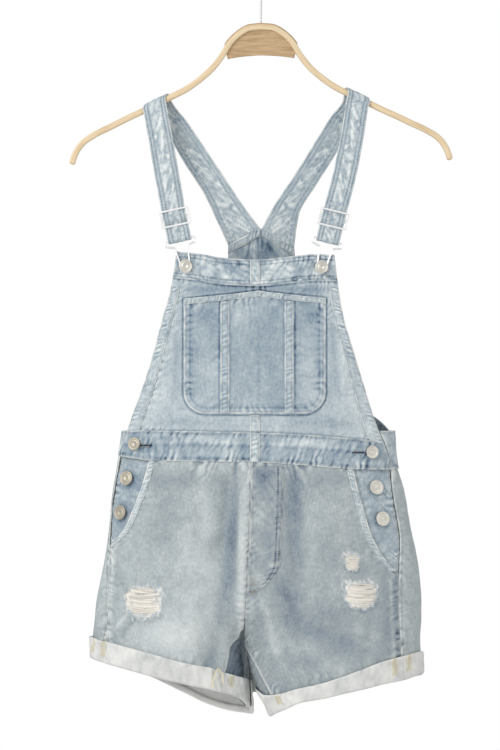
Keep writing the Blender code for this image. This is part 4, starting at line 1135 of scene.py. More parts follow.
# %% Where the legs are cut
def mouth_of(side):
    """Share across a front leg at which its pocket's mouth lies, as a function of the drop."""
    drops = np.arange(590.0, POCKET_FOOT[side] + 1)
    shares = sheets[f"{side}_front"].across_of(curve(POCKET_SLANT, side, drops), drops)
    shares[-1] = 0.0
    return lambda drop: np.interp(drop, drops, shares)


def hem_of(side, face):
    return lambda share: curve(HEMS, f"{side}_{face}", share, by="share")


def leg_place(side, face):
    sheet, hem = f"{side}_{face}", hem_of(side, face)
    if face == "front":
        edge, mouth = band_edge(sheet, "bottom", BAND_FOOT), mouth_of(side)
    else:
        edge, mouth = back_waist_foot(sheet), lambda drop: 0.0 * drop

    def place(a, d):
        share = mix(mouth(np.array(BAND_FOOT)), 1, a)
        drop = mix(edge(share) - TUCKED, hem(a) - 1.5, d)
        return mix(mouth(drop), 1, a), drop

    return place


def cuff_place(side, face):
    """Down the outside of the turned-up cuff, round its fold and up inside the leg."""
    hem = hem_of(side, face)
    outside, inside, lean = CLOTH + LAID_GAP + CUFF_THICK, -1.2, 1.2
    fold, turned, up_inside = 0.7, 0.88, 6.0
    radius = (outside - inside) / 2

    def place(a, d):
        tall = curve(CUFF_TALL, side, a, by="share")
        flat = np.clip(d / fold, 0, 1)
        turn = np.clip((d - fold) / (turned - fold), 0, 1) * math.pi
        up = np.clip((d - turned) / (1 - turned), 0, 1) * up_inside
        drop = hem(a) - radius - (tall - radius) * (1 - flat) + radius * np.sin(turn) - up
        return a, drop, inside + radius * (1 + np.cos(turn)) + lean * (1 - flat) ** 2

    return place


def facing_place(side):
    sheet, foot = f"{side}_front", POCKET_FOOT[side]
    mouth, edge, under = mouth_of(side), band_edge(sheet, "bottom", BAND_FOOT), 0.09

    def place(a, d):
        drop = mix(edge(a * (mouth(np.array(BAND_FOOT)) + under)) - TUCKED, foot + 6.0, d)
        return (mouth(drop) + under) * a, drop, (POCKET_GAP - 0.4) * (1 - ease(a / 0.12))

    return place


BUTTON_SHADOWS = (  # painted shadow in a ring round each side button
    (-159.6, 623.5, 11, 11, -0.3), (-166.8, 664.5, 11, 11, -0.3),
    (136.8, 634.5, 11, 11, -0.3), (144, 671.5, 11, 11, -0.3),
)


def mouth_hem_place(side):
    mouth, hem_share = mouth_of(side), 0.046
    top = float(band_edge(f"{side}_front", "bottom", BAND_FOOT)(mouth(np.array(BAND_FOOT)))) + 0.3

    def place(a, d):
        drop = mix(top, POCKET_FOOT[side] - 2.0, d)
        return mouth(drop) + hem_share * a, drop

    return place


# %% Fades, creases and painted shade of the legs
# Fades of the legs, with painted shade in the troughs of folds and under the waistband, and painted highlight
# on ridges.
LEG_FADES_AND_SHADE = {
    "left": (
        (-95, 810, 52, 26, 0.22), (-70, 740, 26, 40, 0.05), (-40, 660, 8, 50, -0.12),
        (-38, 740, 9, 60, -0.14), (-24, 700, 5, 80, 0.16), (-90, 625, 60, 9, -0.1),
        (-176, 780, 12, 60, -0.06), (-172, 836, 9, 18, -0.12), (-60, 835, 12, 30, -0.12),
        (-150, 760, 10, 20, -0.06), (-120, 700, 40, 30, -0.02),
    ),
    "right": (
        (60, 690, 40, 50, -0.03), (45, 640, 8, 40, -0.1), (70, 625, 50, 9, -0.1),
        (80, 790, 60, 30, -0.08), (20, 790, 10, 40, 0.06), (60, 838, 70, 12, -0.06),
        (150, 770, 9, 60, -0.08), (30, 760, 14, 40, -0.06),
        (110, 640, 10, 30, 0.05), (95, 850, 50, 10, 0.06),
    ),
}
LEG_CREASES = {
    "left": {
        "from": (
            (-175, 727), (-171, 799), (-168, 806), (-30, 625), (-55, 700), (-110, 640), (-84, 640),
        ),
        "to": ((-157, 763), (-157, 781), (-150, 786), (-34, 760), (-62, 850), (-112, 700), (-86, 740)),
        "wide": (3.4, 3.2, 3.2, 4.5, 9.0, 10.0, 9.0),
        "high": (1.0, 0.9, -0.9, -1.5, 1.6, -0.8, 0.8),
    },
    "right": {
        "from": ((30, 640), (6, 770), (24, 770), (60, 790), (70, 640), (108, 730)),
        "to": ((40, 730), (30, 860), (60, 850), (150, 812), (66, 740), (120, 850)),
        "wide": (4.0, 6.0, 6.0, 6.0, 9.0, 9.0),
        "high": (-1.2, 1.4, -1.4, 1.2, 0.8, 1.0),
    },
}
# Painted shade in the troughs of the leg folds and painted highlight on their ridges, as bands along lines.
LEG_FOLD_SHADE = {
    "left": (
        (((-27, 612), (-30, 660), (-40, 721), (-50, 780), (-61, 840)), 8.0, -0.13),
        (((-17, 612), (-21, 721), (-25, 806)), 3.6, 0.13),
        (((-73, 721), (-91, 817)), 22.0, 0.06),
        (((-175, 727), (-157, 763)), 3.2, -0.14),
        (((-172, 799), (-157, 781)), 2.2, 0.14),
        (((-166, 809), (-150, 788)), 3.0, -0.12),
        (((-122, 612), (-118, 700)), 12.0, -0.05),
        (((-70, 612), (-66, 690)), 8.0, 0.08),
        (((-177, 700), (-184, 826)), 4.0, 0.16),
    ),
    "right": (
        (((38, 612), (44, 721)), 6.5, -0.10),
        (((54, 612), (61, 769)), 9.0, 0.07),
        (((29, 757), (47, 799), (119, 827)), 8.5, -0.08),
        (((35, 817), (95, 850)), 8.0, 0.10),
        (((1, 769), (17, 829)), 5.0, 0.10),
        (((84, 620), (96, 720), (100, 780)), 14.0, 0.04),
        (((159, 745), (163, 835)), 3.2, -0.16),
        (((154, 745), (158, 835)), 2.2, 0.14),
    ),
}
BACK_CREASES = {
    "from": (
        (-60, 760), (-40, 790), (60, 760), (40, 790), (-90, 620), (90, 620), (-30, 640), (34, 650),
    ),
    "to": (
        (-150, 800), (-120, 850), (140, 790), (120, 850), (-104, 760), (104, 760), (-44, 740),
        (44, 750),
    ),
    "wide": (9.0, 8.0, 9.0, 8.0, 12.0, 12.0, 8.0, 8.0),
    "high": (-2.5, 2.2, -2.5, 2.2, 2.0, 2.0, -1.8, -1.8),
}
# %% Lines of the legs, and what follows them
INSEAM_LEFT = (
    (-24.8, 800), (-26.4, 812), (-32.4, 817), (-37.2, 823), (-38.6, 835), (-41, 847), (-46, 860), (-46, 880),
)
INSEAM_RIGHT = ((-22.8, 806), (-21.6, 817), (-13.2, 831.6), (-3.6, 848.4), (7.2, 868.8), (18, 890))
CENTRE_LINE = (
    (-12.6, 600), (-14, 661), (-18, 757), (-20.4, 793), (-24.5, 815), (-24, 830), (-17, 850), (-10, 880),
)


def under_fold(line, deep, shade, white=0.5):
    """The cloth on the crotch side of a line turns under: it lies deeper and in shadow."""

    def look(here):
        off, share = beside(line, here.x, here.drop)
        turned = ease(off / 3.5) * ease(share / 0.12)
        here.height -= deep * turned
        here.fade -= shade * turned
        here.worn += white * bell(off, 1.3) * ease(share / 0.1)

    return look


def seam_line(line, tone=0.2, white=0.5, high=0.7, first=0.0, last=1.0):
    """A sewn line: a rubbed ridge with a valley beside it, darkened with painted shade."""

    def look(here):
        off, share = beside(line, here.x, here.drop)
        there = ease((share - first) / 0.05) * ease((last - share) / 0.05)
        here.height += high * there * (bell(off, 1.4) - 1.2 * bell(off + 2.4, 1.0))
        here.worn += white * there * bell(off, 1.2)
        here.fade -= tone * there * bell(off + 2.6, 1.3)

    return look


def line_puckers(line, out, reach, pitch, high, tone, seed, first=0.0):
    """Puckers that run out from a sewn line."""

    def look(here):
        off, share = beside(line, here.x, here.drop)
        along = share * float(np.linalg.norm(np.diff(np.array(line), axis=0), axis=1).sum())
        broad = soft_noise(along, off, 2.7 * pitch, 20, seed)
        drift = pitch * (0.9 * broad + 0.3 * soft_noise(along, off, pitch, 6, seed + 1))
        wave = crests(math.pi * (along + drift + 0.7 * off) / pitch)
        strong = uneven(0.6, 0.8, 0.1, 1.3, along, off, 1.7 * pitch, 30, seed + 2)
        emboss(here, high, tone, wave, strong * bell(off - out, reach) * ease((share - first) / 0.06))

    return look


# %% Rips
RIPS = {  # holes worn through the warp: where they are, and their half sizes
    "left": (
        {
            "x": -140.0, "drop": 768.0, "wide": 18.6, "tall": 18.0,
            "slant": 2.0, "gaps": 6, "rows": 13, "seed": 401,
        },
    ),
    "right": (
        {
            "x": 108.0, "drop": 721.0, "wide": 8.5, "tall": 9.5,
            "slant": -1.0, "gaps": 3, "rows": 8, "seed": 402,
        },
        {
            "x": 118.5, "drop": 760.0, "wide": 17.0, "tall": 14.5,
            "slant": 1.5, "gaps": 4, "rows": 12, "seed": 403,
        },
    ),
}


def rip_depth(rip, x, drop):
    """1 at the middle of a rip, 0 at its ragged outline, below 0 outside."""
    down = (drop - rip["drop"]) / rip["tall"]
    across = (x - rip["x"]) / (rip["wide"] * (1 - 0.14 * down))
    fine = soft_noise(x, drop, 2.6, 4.5, rip["seed"])
    ragged = 0.2 * fine + 0.16 * soft_noise(x, drop, 8.0, 9.0, rip["seed"] + 5)
    return 1 - (np.abs(across) ** 3.4 + np.abs(down) ** 3.4) ** (1 / 3.4) + ragged


def torn(rip):
    """Only the pale crosswise threads are left inside a rip, and its rim is rubbed pale."""

    def look(here):
        depth = rip_depth(rip, here.x, here.drop)
        inside = ease(depth / 0.14)
        across = (here.x - rip["x"]) / rip["wide"]
        uneven_sag = 1.4 * soft_noise(here.x, here.drop * 0, 9, 9, rip["seed"] + 7)
        sagged = here.drop - rip["drop"] - 3.6 * (1 - across**2) + uneven_sag
        apart = 2 * rip["tall"] / rip["gaps"]
        off = np.abs(sagged / apart - np.round(sagged / apart)) * apart
        parted = bell(off, 0.9) * uneven(0.6, 1.2, 0, 1, here.x, here.drop, 9, 2.4, rip["seed"] + 9)
        # the weft parts into bundles, and painted shadow shows dark in the gaps between them
        here.weft += inside * (1 - 0.8 * parted)
        here.fade -= 0.42 * inside
        here.height -= 0.5 * inside
        ring = bell(depth, 0.2)
        here.worn += 0.8 * ring * uneven(0.55, 1.2, 0, 1, here.x, here.drop, 2.0, 3.4, rip["seed"] + 8)
        here.height += 0.35 * ring
        foot = ease((here.drop - rip["drop"]) / rip["tall"])
        here.fade -= 0.16 * foot * bell(depth + 0.28, 0.14)

    return look


# %% What each leg has of its own
# painted light inside the back of the legs near the hem, where the front cuffs shade it
BACK_HEM_LIGHT_PAINTED = ((-120, 880, 80, 22, 0.5), (110, 880, 90, 22, 0.4))
FRONT_LOOKS = {
    "left": [
        under_fold(INSEAM_LEFT, 6.0, 0.3),
        line_puckers(CENTRE_LINE, 0, 6, 9, 0.4, 0.1, 301),
    ],
    "right": [
        seam_line(INSEAM_RIGHT, tone=0.1, white=0.6),
        line_puckers(INSEAM_RIGHT, 6, 5.5, 5.5, 0.6, 0.3, 311),
        line_puckers(CENTRE_LINE, 8, 8, 9, 0.5, 0.12, 321, first=0.55),
    ],
}

CUFF_STEP = ((-61, 846), (-57, 866), (-51, 884), (-47, 905))
CUFF_LOOKS = {
    "front_left": [under_fold(CUFF_STEP, 2.6, 0.07, 0.9)],
    "front_right": [spots(((-2, 880, 7, 16, 0.2), (60, 872, 40, 8, -0.06)))],
    # painted light inside the back cuff, where the front cuff shades it
    "back_left": [spots(((-60, 900, 70, 30, 0.25),))],
}

# %% Leg panels, cuffs and hand pockets
LEG_BASE = {"left": 0.55, "right": 0.45}


def leg_looks(side, face):
    if face == "back":
        return [wash(0.56, 110 + len(side), 0.05), ridges(BACK_CREASES, 0.04), spots(BACK_HEM_LIGHT_PAINTED)]
    return [
        wash(LEG_BASE[side], 110 + len(side), 0.05), spots(LEG_FADES_AND_SHADE[side]), painted_shade_bands(LEG_FOLD_SHADE[side]),
        ridges(LEG_CREASES[side], 0.05), *FRONT_LOOKS[side], *(torn(rip) for rip in RIPS[side]),
    ]


for side in ("left", "right"):
    for face, leg_step, cuff_step in (("front", 1.8, 1.6), ("back", 3.2, 2.8)):
        panel(
            f"leg_{face}_{side}", f"{side}_{face}", leg_place(side, face), CLOTH,
            [
                *leg_looks(side, face),
                puckers("top", 3, 16, 9, 0.8, 0.2, seed=111),
                puckers("right", 3, 7, 10, 0.35, 0.1, 0.4, seed=112),
                puckers("left", 3, 12, 10, 0.7, 0.2, -0.6, seed=113),
                puckers("bottom", 26, 9, 15, 0.6, 0.08, seed=114),
                rim("right", white=0.4, wide=1.2), rim("left", white=0.5, wide=1.4),
            ],
            (thigh, inner), [("left", 3.0)], step=leg_step, grain=1.0,
        )
        panel(
            f"cuff_{face}_{side}", f"{side}_{face}", cuff_place(side, face), 0.0,
            [
                wash(0.74, 120, 0.12), crumple(12, 0.7, 0.1, 70, 1.6, seed=123),
                puckers("top", 0, 12, 13, 0.6, 0.14, 0.4, seed=121),
                rim("top", white=0.5, turn=0.2), *CUFF_LOOKS.get(f"{face}_{side}", ()),
            ],
            (inner, inner), step=cuff_step, thick=1.6,
        )
    panel(
        f"pocket_facing_{side}", f"{side}_front", facing_place(side), -POCKET_GAP,
        [
            wash(0.55, 130), crumple(7, 0.4, 0.14, 30, seed=134),
            puckers("left", 4, 12, 9, 0.6, 0.24, 0.6, seed=131),
            puckers("top", 0, 14, 9, 0.6, 0.2, seed=132), rim("left", white=0.5), spots(BUTTON_SHADOWS),
        ],
        (blue, inner), [("left", 2.4)],
    )
    panel(
        f"pocket_hem_{side}", f"{side}_front", mouth_hem_place(side), LAID,
        [
            wash(0.66, 140), roped("left", 4.5, 5.0, 0.2, 0.25, 4.5, seed=141),
            rim("left", white=1.0, wide=2.2), rim("right", white=0.3),
        ],
        (pale, inner), [("left", 2.4), ("right", 1.6)], **HEM_CUT,
    )
print("leg pieces:", [name for name in laid if name.startswith(("leg", "cuff", "pocket"))])


# %% [markdown]
# Where the legs part, the inner side of the left leg folds back into the gap. That fold is a small
# piece of its own, deeper than the fronts and mostly in shadow.

# %% Fold between the legs
# painted shade at the top and along the right of the fold, with painted light on its paler spots
FOLD_PAINTED_SHADE = (
    (-28, 824, 7, 10, -0.3), (-21, 838, 4, 12, -0.24), (-14, 852, 4, 10, -0.26),
    (-36, 850, 8, 12, 0.1), (-4, 868, 7, 9, 0.08),
)
FOLD_TOP, FOLD_BOTTOM = 804.0, 880.0


def fold_net(columns=36, rows=44):
    """Points and normals of the fold, from behind the left leg to behind the right one."""
    a, d = spread(columns, rows)
    drop = mix(FOLD_TOP, FOLD_BOTTOM, d)
    start = curve(LEG_INNER, "left", drop) + mix(-16.0, 1.5, ease((drop - 850) / 10))
    end = curve(LEG_INNER, "right", drop) + mix(3.0, 9.0, ease((drop - 840) / 16))
    x = mix(start, end, a)
    y = 1.5 + 3.0 * np.sin(math.pi * a) + 5.0 * (1 - a)
    points = np.stack([x, y, -drop], axis=-1)
    return points, np.broadcast_to((0.0, -1.0, 0.0), points.shape).copy()


lay(
    "crotch_fold", *fold_net(),
    [wash(0.54, 145, 0.07), spots(FOLD_PAINTED_SHADE), crumple(7, 0.6, 0.14, 60, seed=146)],
    (thigh, inner), 0.9,
)
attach(laid["crotch_fold"].piece, "root")
print("fold between the legs:", len(laid["crotch_fold"].piece.data.vertices), "points")


# %% Fly
def fly_place(a, d):
    drop = mix(FLY["top"], FLY["bottom"], d)
    inset = np.maximum(0.0, drop - (FLY["bottom"] - FLY["bend"])) / FLY["bend"]
    reach = FLY["wide"] * np.sqrt(np.maximum(0.02, 1 - inset**2))
    x = curve(SEAMS, "centre", drop) + FLY["from_seam"] + reach * a
    return sheets["right_front"].across_of(x, drop), drop


# Fades of the fly, with painted shadow at its top just under the waistband.
FLY_FADES_AND_SHADOW = (
    (2, 618, 14, 9, -0.16), (0, 660, 10, 18, 0.05), (6, 700, 12, 14, -0.06), (-4, 730, 10, 12, 0.06),
)
panel(
    "fly_shield", "right_front", fly_place, LAID - 0.6,
    [
        wash(0.43, 150), spots(FLY_FADES_AND_SHADOW), crumple(9, 0.3, 0.08, 50, seed=154),
        double_row("right", insets=(2.2, 6.4), seed=155),
        puckers("left", 2, 9, 10, 0.4, 0.1, 0.4, seed=151),
        puckers("right", 4, 6, 9, 0.6, 0.2, -0.4, seed=152),
        rim("right", white=0.45, turn=0.5), rim("left", white=0.5),
    ],
    (thigh, inner), [("right", 1.8), ("right", 6.0), ("left", 1.8)], thick=0.6,
)

# %% [markdown]
# ## Back
# The back bib narrows to a yoke, and its armholes are hemmed. On the wrong side two bands face the
# yoke in a V, where the straps are sewn in.

# %% Back bib and yoke
def yoke(share):
    return curve(BACK_TOP, "drop", mix(BACK_TOP["x"][0], BACK_TOP["x"][-1], share), by="x")


YOKE_SHADES = ((0, 352, 30, 12, -0.12), (-26, 350, 8, 8, 0.14), (24, 356, 8, 6, 0.12))
# painted shade and painted highlight of the yoke's folds
YOKE_CREASE_SHADE = (
    (((-16, 334), (-30, 354)), 3.0, -0.2), (((-4, 330), (20, 356)), 3.4, -0.22),
    (((-10, 336), (-8, 358)), 3.4, 0.26), (((16, 338), (30, 352)), 3.0, 0.22),
    (((-30, 342), (-40, 356)), 2.6, 0.2),
)
panel(
    "back_bib", "back", between(yoke, BACK_WAIST_TOP + TUCKED), CLOTH,
    [
        wash(0.40, 160, 0.10), spots(YOKE_SHADES), painted_shade_bands(YOKE_CREASE_SHADE),
        crumple(9, 0.4, 0.12, 40, seed=165), puckers("top", 9, 14, 9, 0.7, 0.24, seed=161),
        puckers("left", 10, 12, 10, 0.6, 0.18, 0.5, seed=162),
        puckers("right", 10, 12, 10, 0.6, 0.18, -0.5, seed=163),
        puckers("bottom", 0, 14, 9, 0.7, 0.18, seed=164),
    ],
    (blue, blue), step=2.4, thick=1.4, grain=0.5,
)
for side, start in (("left", 0.0), ("right", 1 - ARMHOLE_HEM_SHARE)):
    panel(
        f"armhole_hem_{side}", "back",
        between(ARMHOLE_HEM_TOP, BACK_WAIST_TOP, start, start + ARMHOLE_HEM_SHARE), LAID,
        [wash(0.6, 170), roped("left", 4, 5.5, 0.24, 0.3, 4, seed=171), rim("left", "right")],
        (pale, inner), [("left", 1.6), ("right", 1.6)], **HEM_CUT,
    )
YOKE_BAND_SHARE = 0.494
for side, start in (("left", 0.0), ("right", 1 - YOKE_BAND_SHARE)):
    panel(
        f"yoke_band_{side}", "back",
        between(
            lambda share: yoke(share) - 1.6, lambda share: yoke(share) + YOKE_BAND_TALL,
            start, start + YOKE_BAND_SHARE,
        ),
        -LAID_GAP - OVERLAY,
        [wash(0.58, 180), roped("top", 4.5, 5.5, 0.24, 0.2, 4, seed=181), rim("top", "bottom")],
        (pale, pale), [("top", 1.8), ("bottom", 1.8)], step=1.2, thick=1.0, inwards=True,
    )

# %% [markdown]
# ## Straps
# Each strap is one flat band of denim. It leaves the V of the yoke, goes over the hanger's bar,
# threads the slider, goes round the top of the buckle and comes back up behind itself to the
# slider. Pairs of edge points mark the way, and a smooth curve through them carries the cloth.

# %% The straps' way
STRAP_BACK = {
    "left": {
        "in_x": (-1.2, -21.6, -43.5, -67, -90, -105),
        "in_drop": (322.4, 295, 262, 227, 193, 174),
        "out_x": (-39.8, -50.6, -67.5, -91, -114, -131),
        "out_drop": (342.2, 319, 283, 246, 208, 186),
    },
    "right": {
        "in_x": (1.2, 13, 38, 62, 83, 99),
        "in_drop": (322.4, 300, 262, 224, 190, 166),
        "out_x": (39.8, 45.6, 65, 86, 107, 124),
        "out_drop": (346.8, 307, 273, 240, 204, 176),
    },
}
STRAP_FRONT = {
    "left": {
        "in_x": (-113.4, -107.5, -99, -92.8),
        "in_drop": (174, 206, 253, 288),
        "out_x": (-140.6, -135.4, -127.6, -121),
        "out_drop": (186, 214, 259, 294),
    },
    "right": {
        "in_x": (103.6, 96.5, 86.6, 77.6),
        "in_drop": (163, 206, 255, 290),
        "out_x": (130.4, 123.6, 114.0, 105.0),
        "out_drop": (173, 211, 261, 296),
    },
}
STRAP_DEEP_BACK = (18.3, 18.0, 16.6, 14.2, 11.4, 9.2)
STRAP_DEEP_FRONT = (-9.3, -12.5, -17.3, -21.0)
BAR_CROSSING = {"left": (-112.0, -139.0, -2.5), "right": (102.0, 128.5, 2.5)}
STRAP_HALF_WIDE = 14.2
BUCKLE_LEAN, BUCKLE_TILT = {"left": -12.5, "right": 13.5}, 5.0
BUCKLE_WIRE, BUCKLE_REACH, BUCKLE_LIFT = 2.2, 33.4, 1.6
SLIDER_AT, SLIDER_OUT, SLIDER_THICK = 59.5, 4.2, 1.1
HANGER_HALF_DEEP, HANGER_HALF_TALL, HANGER_EDGE = 7.0, 3.5, 2.0
HANGER = {
    "x": (0, 13, 25, 37, 46, 57, 72, 90, 108, 128, 145, 162, 179, 199, 214, 223, 227),
    "drop": (
        81.6, 82.8, 88.8, 100.2, 114.6, 129, 142.8, 155.4, 164.4,
        174, 182.4, 190.2, 198.6, 208.2, 218.4, 231.6, 244,
    ),
}
HANGER_TILT = 0.012
BUTTONS = {
    "bib_button_left": {"x": -90.0, "drop": 369.6, "on": "bib band"},
    "bib_button_right": {"x": 72.0, "drop": 370.8, "on": "bib band"},
    "waist_button_left": {"x": -148.8, "drop": 582.0, "on": "waistband"},
    "waist_button_right": {"x": 130.8, "drop": 591.6, "on": "waistband"},
    "side_button_left_upper": {"x": -159.6, "drop": 622.8, "on": "facing"},
    "side_button_left_lower": {"x": -166.8, "drop": 663.6, "on": "facing"},
    "side_button_right_upper": {"x": 136.8, "drop": 633.6, "on": "facing"},
    "side_button_right_lower": {"x": 144.0, "drop": 670.8, "on": "facing"},
}
WIRE_GAP = 0.3


def on_sheet(sheet, x, drop, lift):
    """A point at an x and a drop of a sheet, and its normal, as vectors in millimetres."""
    return tuple(map(Vector, sheets[sheet].at_x(x, drop, lift)))


def buckle_frame(side):
    """Place of a buckle: origin at its button, X across, Y up along the strap, Z out of the bib."""
    button = BUTTONS[f"bib_button_{side}"]
    origin, _ = on_sheet("bib", button["x"], button["drop"], LAID + BUCKLE_LIFT)
    lean, tilt = math.radians(BUCKLE_LEAN[side]), math.radians(BUCKLE_TILT)
    up = Vector((math.sin(lean) * math.cos(tilt), math.sin(tilt), math.cos(lean) * math.cos(tilt)))
    across = up.cross(Vector((0.0, -1.0, 0.0))).normalized()
    turn = Matrix((across, up, across.cross(up))).transposed()
    return Matrix.Translation(origin) @ turn.to_4x4()


def bar_drop(x):
    return float(curve(HANGER, "drop", abs(x), by="x")) - HANGER_TILT * x


def table_stations(table, deep):
    rows = zip(deep, table["in_x"], table["in_drop"], table["out_x"], table["out_drop"])
    return [((near, y, -drop), (far, y, -low)) for y, near, drop, far, low in rows]


def bar_stations(side):
    """Pairs of edge points over the hanger's bar, from behind it to its front."""
    corner_y, corner_z = HANGER_HALF_DEEP - HANGER_EDGE, HANGER_HALF_TALL - HANGER_EDGE
    reach = HANGER_EDGE + STRAP_THICK / 2 + 2 * WIRE_GAP
    steep = 1.1
    near_x, far_x, further = BAR_CROSSING[side]
    stations = []
    for turn in (0, 30, 60, 90, 90, 120, 150, 180):
        angle = math.radians(turn)
        y = (corner_y if len(stations) < 4 else -corner_y) + reach * math.cos(angle)
        rise = (corner_z + reach * math.sin(angle)) * steep
        slide = -further * math.cos(angle)
        stations.append(tuple((x, y, rise - bar_drop(x)) for x in (near_x + slide, far_x + slide)))
    return stations


def buckle_stations(side):
    """Pairs of edge points through the slider, round the buckle's bar and back up behind."""
    frame_of_buckle = buckle_frame(side)
    layer = (BUCKLE_WIRE + STRAP_THICK) / 2 + 1.5 * WIRE_GAP
    wave = (SLIDER_THICK + STRAP_THICK) / 2 + WIRE_GAP
    path = [
        (SLIDER_AT + 10.6, SLIDER_OUT - wave), (SLIDER_AT + 8.2, SLIDER_OUT - wave),
        (SLIDER_AT + 1.6, SLIDER_OUT + wave), (SLIDER_AT - 1.6, SLIDER_OUT + wave),
        (SLIDER_AT - 8.2, SLIDER_OUT - wave), (SLIDER_AT - 10.6, SLIDER_OUT - wave),
        (BUCKLE_REACH + 6.0, layer), (BUCKLE_REACH, layer),
    ]
    for turn in range(30, 180, 30):
        angle = math.radians(turn)
        path.append((BUCKLE_REACH - layer * math.sin(angle), layer * math.cos(angle)))
    path += [(BUCKLE_REACH, -layer), (BUCKLE_REACH + 12.0, -layer), (SLIDER_AT + 3.0, -layer)]
    near = STRAP_HALF_WIDE if side == "left" else -STRAP_HALF_WIDE
    return [
        tuple(tuple(frame_of_buckle @ Vector((x, up, out))) for x in (near, -near)) for up, out in path
    ]


# %% Strap cloth
def strap_net(side, wide=29, step=1.15, row_step=1.5):
    """Points of a strap's middle layer, from the yoke to its end, and the outward normals."""
    stations = np.array(
        table_stations(STRAP_BACK[side], STRAP_DEEP_BACK) + bar_stations(side)
        + table_stations(STRAP_FRONT[side], STRAP_DEEP_FRONT) + buckle_stations(side)
    )
    middle = stations.mean(axis=1)
    length = run_along(middle)
    at = np.linspace(0, length[-1], round(length[-1] / row_step))
    table = {"length": length}
    edges = np.empty((len(at), 2, 3))
    for edge in (0, 1):
        for axis in range(3):
            table["value"] = stations[:, edge, axis]
            edges[:, edge, axis] = curve(table, "value", at, by="length")
    across = np.linspace(0, 1, round(wide / step) + 1)[None, :, None]
    net = mix(edges[:, :1], edges[:, 1:], across)
    normal = gridded(net)
    return net, normal if normal[0, 0, 1] > 0 else -normal


for side in ("left", "right"):
    net, normal = strap_net(side)
    lay(
        f"strap_{side}", net + normal * STRAP_THICK / 2, normal,
        [
            wash(0.63, 200, 0.03), crumple(3.6, 0.6, 0.32, 66, 3.2, clear=6.8, seed=204),
            puckers("left", 8, 5, 7, 0.35, 0.16, 0.9, seed=201),
            puckers("right", 8, 5, 7, 0.35, 0.16, -0.9, seed=202),
            double_row("left", "right"),
            rim("left", "right", white=0.5, wide=1.4, turn=0.5),
        ],
        (blue, blue), STRAP_THICK - 0.2, [("left", 2.2), ("left", 6.6), ("right", 2.2), ("right", 6.6)],
    )

# %% [markdown]
# ## Metal and wood
# The buckles are bent from one wire, the sliders are stamped frames, and the tack buttons are
# pressed caps with raised rings. The hanger is a steam-bent wooden bar with a thin web under its
# arch and a wire hook.

# %% Metal and wood finishes
def metal(name, record_slot, colour, rough, dirt, metallic=1.0):
    finish, tree, shader = new_finish(name, record_slot)
    place = node(tree, "ShaderNodeTexCoord").outputs["Object"]
    fine, broad = grainy(tree, place, 900.0, 3.0), grainy(tree, place, 160.0, 2.0)
    dull = (*(c * 0.55 for c in colour), 1)
    feed(tree, shader, {
        "Base Color": blend(tree, maths(tree, "MULTIPLY", broad, dirt), (*colour, 1), dull),
        "Roughness": maths(tree, "MULTIPLY_ADD", fine, 0.18, rough),
        "Metallic": metallic,
        "Normal": relief(tree, fine, 0.12, 0.0002),
    })
    return finish


def wood(name, light, dark, stretch):
    """Wood with its grain along the first of its two lengths."""
    finish, tree, shader = new_finish(name, "hanger_wood")
    place = node(tree, "ShaderNodeUVMap", uv_map="UVMap").outputs[0]
    sized = stretched(tree, place, stretch)
    grain, pores = grainy(tree, sized, 1.0, 4.0, 0.6), grainy(tree, sized, 7.0, 2.0)
    both = maths(tree, "ADD", maths(tree, "MULTIPLY", grain, 0.75), maths(tree, "MULTIPLY", pores, 0.25))
    feed(tree, shader, {
        "Base Color": ramp(tree, both, ((0.32, dark), (0.62, light))),
        "Roughness": 0.48,
        "Normal": relief(tree, both, 0.2, 0.0004),
    })
    return finish


chrome = metal("polished wire", "buckle_metal", (0.86, 0.86, 0.86), 0.22, 0.3)
cast = metal("button metal", "button_metal", (0.66, 0.64, 0.58), 0.36, 0.9, 0.85)
aged = metal("tarnished button metal", "button_metal", (0.50, 0.46, 0.38), 0.42, 0.9, 0.8)
steel = metal("hook steel", "hook_steel", (0.50, 0.51, 0.52), 0.25, 0.5)
bentwood = wood("bent wood", (0.78, 0.63, 0.42), (0.62, 0.46, 0.27), (30, 420, 30))
webwood = wood("web wood", (0.55, 0.39, 0.22), (0.35, 0.22, 0.11), (26, 300, 26))


# %% Helpers for hard pieces
def settle(piece, name, finish):
    """Names a hard piece, moves its place into its mesh, and puts it in its CAD node's stead."""
    piece.name = piece.data.name = name
    piece.data.transform(piece.matrix_world)
    piece.matrix_world = Matrix.Identity(4)
    piece.data.materials.clear()
    piece.data.materials.append(finish)
    activate(piece)
    bpy.ops.object.shade_smooth_by_angle(angle=math.radians(40))
    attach(piece, "root")
    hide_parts(name)
    return piece


def from_curve(data, name, finish, place):
    """A hard piece from a curve, moved to a place that is given in millimetres."""
    piece = bpy.data.objects.new(name, data)
    bpy.context.scene.collection.objects.link(piece)
    activate(piece)
    bpy.ops.object.convert(target="MESH")
    piece = bpy.context.object
    placed = place.copy()
    placed.translation = place.translation * MM
    piece.data.transform(placed)
    return settle(piece, name, finish)


def wire(name, points, radius, finish, place=Matrix.Identity(4), closed=False):
    """A round wire through points, in millimetres."""
    data = bpy.data.curves.new(name, "CURVE")
    data.dimensions = "3D"
    line = data.splines.new("NURBS")
    line.points.add(len(points) - 1)
    for point, at in zip(line.points, points):
        point.co = (*(value * MM for value in at), 1.0)
    line.use_cyclic_u, line.use_endpoint_u, line.order_u = closed, not closed, 3
    line.resolution_u = 6
    data.bevel_depth, data.bevel_resolution, data.use_fill_caps = radius * MM, 4, True
    return from_curve(data, name, finish, place)


